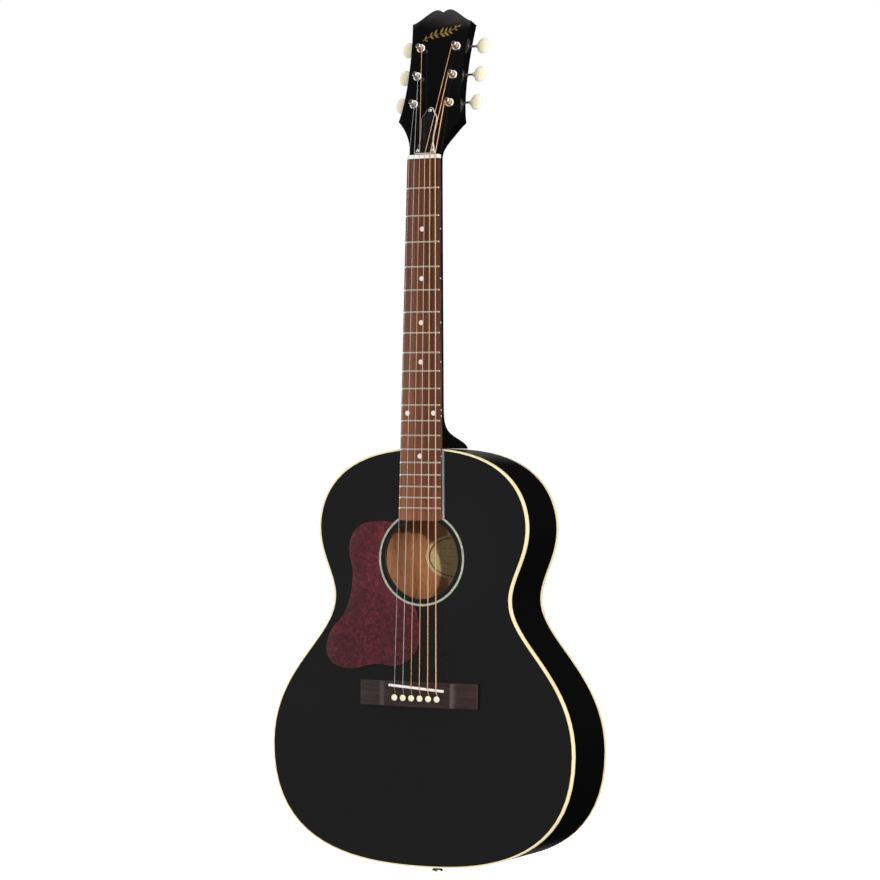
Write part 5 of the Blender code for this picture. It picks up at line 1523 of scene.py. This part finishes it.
# %% Tuner housings
def make_tuner_housing(number):
    """Plate, lugs and domed bushing."""
    _, x, u = peg_place(number)
    site = head_place(x, u)
    bm = bmesh.new()
    plate = bmesh.new()
    block(plate, (-0.0105, -0.0080, PLATE_BACK), (0.0105, 0.0115, PLATE_BACK + PLATE_THICK), site)
    corners = [edge for edge in plate.edges if abs(
        (edge.verts[0].co - edge.verts[1].co).normalized().dot(OUTWARD)) > 0.9]
    round_edges(plate, 0.0030, 5, corners)
    round_edges(plate, 0.0002, 1)
    add_shape(bm, plate)
    for way in (-1, 1):
        near, far = sorted((way * LUG_INNER, way * (LUG_INNER + LUG_THICK)))
        lug = bmesh.new()
        block(lug, (near, WORM_OFFSET - LUG_HALF, KEY_DEPTH - LUG_HALF),
              (far, WORM_OFFSET + LUG_HALF, PLATE_BACK + GAP), site)
        round_edges(lug, 0.0009, 3)
        add_shape(bm, lug)
    flange, bore = 0.0056, POST_RADIUS + 0.0004
    dome = [(bore, -0.0150), (bore, 0.0020)]
    for turn in quarter_turns(6):
        dome.append((bore + 0.0002 + (flange - bore - 0.0002) * math.sin(turn),
                     0.0006 + 0.0016 * math.cos(turn)))
    dome += [(flange, 0.0001), (0.0044, 0.0001), (0.0044, -0.0150), (bore, -0.0150)]
    lathe(bm, dome, 40, site)
    housing = finish(f"tuner_plate_{number}", bm, "nickel",
                     (f"tuner_housing_{number}",))
    cross = site @ Matrix.Translation((0, WORM_OFFSET, KEY_DEPTH)) @ SIDEWAYS
    drill(housing, cross, SHAFT_RADIUS + GAP, 0.05, 20)
    for count, (across, up) in enumerate(((-0.0078, -0.0052), (0.0078, -0.0052)), 1):
        face_down = head_place(x + across, u + up, PLATE_BACK) @ Matrix.Rotation(
            math.pi, 4, "X")
        make_screw(f"plate_screw_{number}_{count}", face_down, 0.0015)
    return housing


for number in STRING_NUMBERS:
    make_tuner_housing(number)
print("housings made")

# %% [markdown]
# The gear is cut from one star-shaped outline.  The windings are a real coil: a wound string
# for the four thick ones and bare steel for the two thin ones, wrapped on the waist of the
# post from the place where the string arrives.

# %% Posts and windings
def tangent_point(start, centre, radius, side):
    """Where a line from start touches a circle, on its side nearer the middle."""
    reach = centre - start
    length = math.sqrt(reach.length_squared - radius ** 2)
    direction = reach.normalized()
    direction.rotate(Matrix.Rotation(side * math.asin(radius / reach.length), 2))
    return start + length * direction


def string_route(number):
    """Pin, saddle, nut and post places of a string, as the model has them."""
    side, x, u = peg_place(number)
    radius = STRING_RADII[number - 1]
    share = string_share(number)
    saddle_x = share * STRING_SPREAD_AT_SADDLE
    rise_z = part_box(f"string_{number}")[0].z + radius
    points = [
        Vector((pin_x(number), BRIDGE_TOP_Y + 0.0020, rise_z)),
        Vector((pin_x(number), BRIDGE_TOP_Y - radius, rise_z + 0.0001)),
        Vector((saddle_x, SADDLE_LOW.y - GAP - radius,
                SADDLE_Z - saddle_x * math.tan(SADDLE_SLANT) - 0.0015)),
        Vector((share * STRING_SPREAD_AT_NUT, FACE_Y - NUT_TALL - GAP - radius,
                NUT_TOP_Z + GAP)),
    ]
    leaving = HEAD_AXES.inverted() @ points[-1]
    touch = tangent_point(leaving.xy, Vector((x, u)), POST_RADIUS + GAP + radius, side)
    points.append(on_head(touch.x, touch.y, STRING_ON_POST))
    return points


def make_post(number):
    _, x, u = peg_place(number)
    site = head_place(x, u)
    waist = POST_RADIUS * 0.85
    bm = bmesh.new()
    profile = [(0, POST_REACH), (POST_RADIUS - 0.0006, POST_REACH), (POST_RADIUS, POST_REACH
               - 0.0005), (POST_RADIUS, POST_REACH * 0.75), (waist, POST_REACH * 0.66),
               (waist, POST_REACH * 0.4), (POST_RADIUS, POST_REACH * 0.3),
               (POST_RADIUS, PLATE_BACK + 0.0002), (0, PLATE_BACK + 0.0002)]
    lathe(bm, profile, 32, site)
    teeth = []
    for tooth in range(GEAR_TEETH):
        for share, radius in ((0.0, 0.84), (0.3, 0.84), (0.42, 1.0), (0.68, 1.0), (0.8, 0.84)):
            turn = 2 * math.pi * (tooth + share) / GEAR_TEETH
            teeth.append(site @ Vector((GEAR_RADIUS * radius * math.cos(turn),
                                        GEAR_RADIUS * radius * math.sin(turn),
                                        PLATE_BACK - GAP - GEAR_THICK)))
    gear = fill(bm, teeth)
    extrude(bm, [gear], OUTWARD * (GEAR_THICK + 0.0004))
    node = f"tuner_post_{number}"
    post = finish(f"post_{number}", bm, "nickel", (node,), node)
    cross = site @ Matrix.Translation((0, 0, POST_REACH * 0.55)) @ SIDEWAYS
    drill(post, cross, POST_HOLE_RADIUS, 0.02, 16)
    return post


def make_winding(number):
    """The coil of spare string on a post."""
    side, x, u = peg_place(number)
    radius = STRING_RADII[number - 1]
    local = HEAD_AXES.inverted() @ string_route(number)[-1]
    start = math.atan2(local.y - u, local.x - x)
    turns = 3.4 if number < 4 else 2.4
    top = STRING_ON_POST
    bottom = max(top - turns * radius * 2.15, 0.0030)
    steps = int(turns * 28)
    reach = POST_RADIUS * 0.88 + radius
    coil = []
    for step in range(steps + 1):
        share = step / steps
        angle = start + side * 2 * math.pi * turns * share
        settle = min(share * turns / 0.25, 1.0)
        away = (local.xy - Vector((x, u))).length * (1 - settle) + reach * settle
        coil.append(head_place(x, u) @ Vector((away * math.cos(angle), away * math.sin(angle),
                                               top + share * (bottom - top))))
    bm = bmesh.new()
    curve_tube(bm, coil, radius * 0.97, 2)
    wire = string_metal(number)
    return finish(f"winding_{number}", bm, wire, (), f"tuner_post_{number}", 50)


for number in STRING_NUMBERS:
    make_post(number)
    make_winding(number)
print("posts wound")

# %% [markdown]
# The button is an oval that fingers can grip: a ball flattened in one direction and squared up
# a little, so that it reads as moulded plastic.  The worm's ridges are a row of rings, which
# look the same as a thread at this size.

# %% Keys
def make_key(number):
    side, x, u = peg_place(number)
    line = head_place(x, u + WORM_OFFSET, KEY_DEPTH) @ Matrix.Rotation(
        side * math.pi / 2, 4, "Y")
    bm = bmesh.new()
    collar = 0.0086
    button_start = BUTTON_REACH - BUTTON_SIZE[0] / 2
    profile = [(0, BUTTON_REACH - 0.004), (SHAFT_RADIUS, BUTTON_REACH - 0.004),
               (SHAFT_RADIUS, button_start + 0.0006), (0.0029, button_start + 0.0004),
               (0.0031, button_start - 0.0006), (0.0021, button_start - 0.0016),
               (SHAFT_RADIUS, button_start - 0.0022), (SHAFT_RADIUS, collar + 0.0014),
               (0.0026, collar + 0.0012), (0.0026, collar + 0.0002), (SHAFT_RADIUS, collar)]
    ridge_start, ridges = 0.0050, 9
    for ridge in range(ridges):
        height = ridge_start - ridge * 0.00115
        profile += [(SHAFT_RADIUS, height), (WORM_RADIUS, height - 0.0003), (WORM_RADIUS, height - 0.0006),
                    (SHAFT_RADIUS, height - 0.0009)]
    profile += [(SHAFT_RADIUS, -0.0090), (0, -0.0090)]
    lathe(bm, profile, 24, line)
    node = f"tuner_key_{number}"
    finish(f"key_shaft_{number}", bm, "nickel", (node,), node)

    across, tall, thick = BUTTON_SIZE
    bm = bmesh.new()
    bmesh.ops.create_uvsphere(bm, u_segments=40, v_segments=24, radius=1.0)
    for vert in bm.verts:
        spread = (abs(vert.co.y) ** 2.1 + abs(vert.co.z) ** 2.1) ** (1 / 2.1)
        round_spread = math.hypot(vert.co.y, vert.co.z)
        if spread > 1e-6:
            vert.co.y *= round_spread / spread
            vert.co.z *= round_spread / spread
        vert.co.x = math.copysign(abs(vert.co.x) ** 0.8, vert.co.x)
    shape = line @ Matrix.Translation((0, 0, BUTTON_REACH)) @ Matrix.Diagonal(
        (thick / 2, tall / 2, across / 2, 1))
    bmesh.ops.transform(bm, matrix=shape, verts=bm.verts)
    finish(f"key_button_{number}", bm, "ivory_plastic", (node,), node,
           crisp=80)


for number in STRING_NUMBERS:
    make_key(number)
print("keys made")

# %% [markdown]
# ## Strings
#
# The strings are under tension, so they are straight from pin to saddle, from saddle to nut
# and from nut to post, with a tight bend at each.  The two thin ones are plain steel; the
# other four are wrapped in bronze, which the finish shows as fine rings.

# %% Strings
def softened(points, reach):
    """Replaces each inner corner by a short arc of points."""
    path = [points[0]]
    for before, corner, after in zip(points, points[1:], points[2:]):
        start = corner + (before - corner).normalized() * reach
        end = corner + (after - corner).normalized() * reach
        path += interpolate_bezier(start, corner, corner, end, 6)
    return path + [points[-1]]


def make_string(number):
    bm = bmesh.new()
    route = string_route(number)
    curve_tube(bm, softened(route, 0.0008), STRING_RADII[number - 1], 3)
    wire = string_metal(number)
    return finish(f"string_line_{number}", bm, wire, (f"string_{number}",), crisp=60)


for number in STRING_NUMBERS:
    make_string(number)
print("strings made")

# %% [markdown]
# ## Strap button
#
# The button under the tail is turned brass with a nickel skin: a wide lip so that a strap
# can't slip off, a narrow neck for the strap to sit in, and a flange against the side.

# %% Strap button
def make_strap_button():
    bm = bmesh.new()
    reach = TAIL_Z
    base = reach - 0.0003
    profile = [(0, reach + 0.0180), (0.0024, reach + 0.0160), (0.0024, base), (0.0055, base),
               (0.0055, base - 0.0006), (0.0046, base - 0.0016), (0.0039, base * 0.66),
               (0.0038, base * 0.5), (0.0042, base * 0.38), (0.0056, base * 0.27),
               (0.0070, base * 0.22), (0.0072, base * 0.17), (0.0072, base * 0.10),
               (0.0069, base * 0.04), (0.0062, 0.0), (0, 0.0)]
    lathe(bm, profile, 48)
    return finish("strap_knob", bm, "nickel", ("strap_button",))


make_strap_button()
print("strap button made")

# %% [markdown]
# ## Stage and light
#
# The guitar stands before plain white.  Black lacquer has almost no colour of its own, so what
# it shows is the room: the world is dim where the face looks, brighter at the back on the
# left, and dark at the back on the right, which is where the side's black comes from.

# %% Floor
def make_floor():
    bm = bmesh.new()
    bmesh.ops.create_circle(bm, cap_ends=True, segments=96, radius=12.0,
                            matrix=Matrix.Translation((0, 0, CAD_LOW.z - 0.25)))
    floor = place_mesh("floor", bm)
    floor.data.materials.append(MATERIALS["floor"])
    floor.visible_glossy = False
    floor.visible_diffuse = False
    return floor


def floor_finish():
    """A pale floor with a very faint mottle."""
    floor = Finish("floor", (0.93, 0.93, 0.93), 0.9)
    cloud = floor.grain((0.6, 0.6, 0.6), 3)
    floor.colour(floor.ramp(cloud, ((0.3, (0.92, 0.92, 0.92)), (0.7, (0.95, 0.95, 0.95)))))
    glow = floor.shader.inputs
    glow["Emission Color"].default_value = (1, 1, 1, 1)
    glow["Emission Strength"].default_value = 1.0


floor_finish()
make_floor()
print("floor laid")


# %% World
FRONT_GLOW = 0.33
HEAD_GLOW = 0.05
RIGHT_GLOW = 2.6
LEFT_GLOW = 1.1
ABOVE_GLOW = 1.5
BACK_LEFT_GLOW = 0.17
BACK_RIGHT_GLOW = 0.006
SOFT_GLOW = 0.80


def make_world():
    """White to the camera, a shaped dim room to anything shiny, soft light to the rest."""
    world = bpy.data.worlds.new("world")
    bpy.context.scene.world = world
    world.use_nodes = True
    world.node_tree.nodes.clear()
    room = Nodes(world.node_tree, "Generated")
    maths = room.maths
    x, y, z = (room.axis(which) for which in "XYZ")

    def step(value, low, high, to_low=0.0, to_high=1.0):
        return room.span(value, low, high, to_low, to_high, "SMOOTHSTEP")

    front = step(z, 0.20, 0.36, FRONT_GLOW, HEAD_GLOW)
    front = maths("ADD", front, step(x, 0.30, 0.72, 0.0, RIGHT_GLOW))
    front = maths("ADD", front, step(x, -0.62, -0.86, 0.0, LEFT_GLOW))
    front = maths("ADD", front, step(z, 0.55, 0.80, 0.0, ABOVE_GLOW))
    back = maths("ADD", step(x, -0.20, -0.55, BACK_RIGHT_GLOW, BACK_LEFT_GLOW),
                 maths("MULTIPLY", step(z, 0.42, 0.75),
                       step(x, 0.35, -0.10, 0.0, BACK_LEFT_GLOW)))
    behind = step(y, -0.02, 0.12)
    glossy = maths("ADD", maths("MULTIPLY", maths("SUBTRACT", 1.0, behind), front),
                   maths("MULTIPLY", behind, back))

    rays = room.node("ShaderNodeLightPath")
    seen, shiny = rays.outputs["Is Camera Ray"], rays.outputs["Is Glossy Ray"]
    soft = maths("ADD", maths("MULTIPLY", maths("SUBTRACT", 1.0, shiny), SOFT_GLOW),
                 maths("MULTIPLY", shiny, glossy))
    strength = maths("ADD", seen, maths("MULTIPLY", maths("SUBTRACT", 1.0, seen), soft))
    background = room.node("ShaderNodeBackground", Color=(1, 1, 1, 1))
    room.link(strength, background.inputs["Strength"])
    output = room.node("ShaderNodeOutputWorld")
    room.link(background.outputs[0], output.inputs["Surface"])
    bpy.context.scene.view_settings.view_transform = "Standard"
    return world


make_world()
print("world set")

# %% [markdown]
# Two large soft lamps light the ivory, bone and wood from in front: a strong one on the right
# and a weaker one on the left.  A narrow spot shines into the soundhole.  None of them shows
# in a reflection, because the world already shapes what the black lacquer mirrors.

# %% Lamps
MIDDLE = (CAD_LOW + CAD_HIGH) / 2
HOLE = Vector((0, FACE_Y, SOUNDHOLE_Z))


def make_lamp(name, kind, place, aim, power):
    """A lamp that shows in no reflection; returns its settings."""
    data = bpy.data.lights.new(name, kind)
    data.energy = power
    lamp = bpy.data.objects.new(name, data)
    lamp.location = place
    lamp.rotation_euler = (Vector(aim) - Vector(place)).to_track_quat("-Z", "Y").to_euler()
    lamp.visible_glossy = False
    bpy.context.scene.collection.objects.link(lamp)
    return data


def make_panel(name, place, size, power):
    """A wide, tall, soft panel aimed at the guitar's middle."""
    data = make_lamp(name, "AREA", place, MIDDLE, power)
    data.shape = "RECTANGLE"
    data.size, data.size_y = size
    bpy.data.objects[name].visible_camera = False


def make_spot(name, place, aim, angle, power, radius):
    """A narrow cone of light."""
    data = make_lamp(name, "SPOT", place, aim, power)
    data.spot_size = math.radians(angle)
    data.spot_blend = 0.25
    data.shadow_soft_size = radius


make_panel("left_lamp", (-1.9, -1.7, 1.3), (0.9, 1.6), 11)
make_panel("right_lamp", (2.4, -1.2, 0.9), (0.8, 1.8), 34)
make_spot("hole_lamp", HOLE + Vector((1.18, -1.55, 0.30)), HOLE, 3.4, 170, 0.04)
print("lamps set")

# %% [markdown]
#
# The dressed guitar must be as big as its mechanical model.

# %% End
print("guitar dressed")
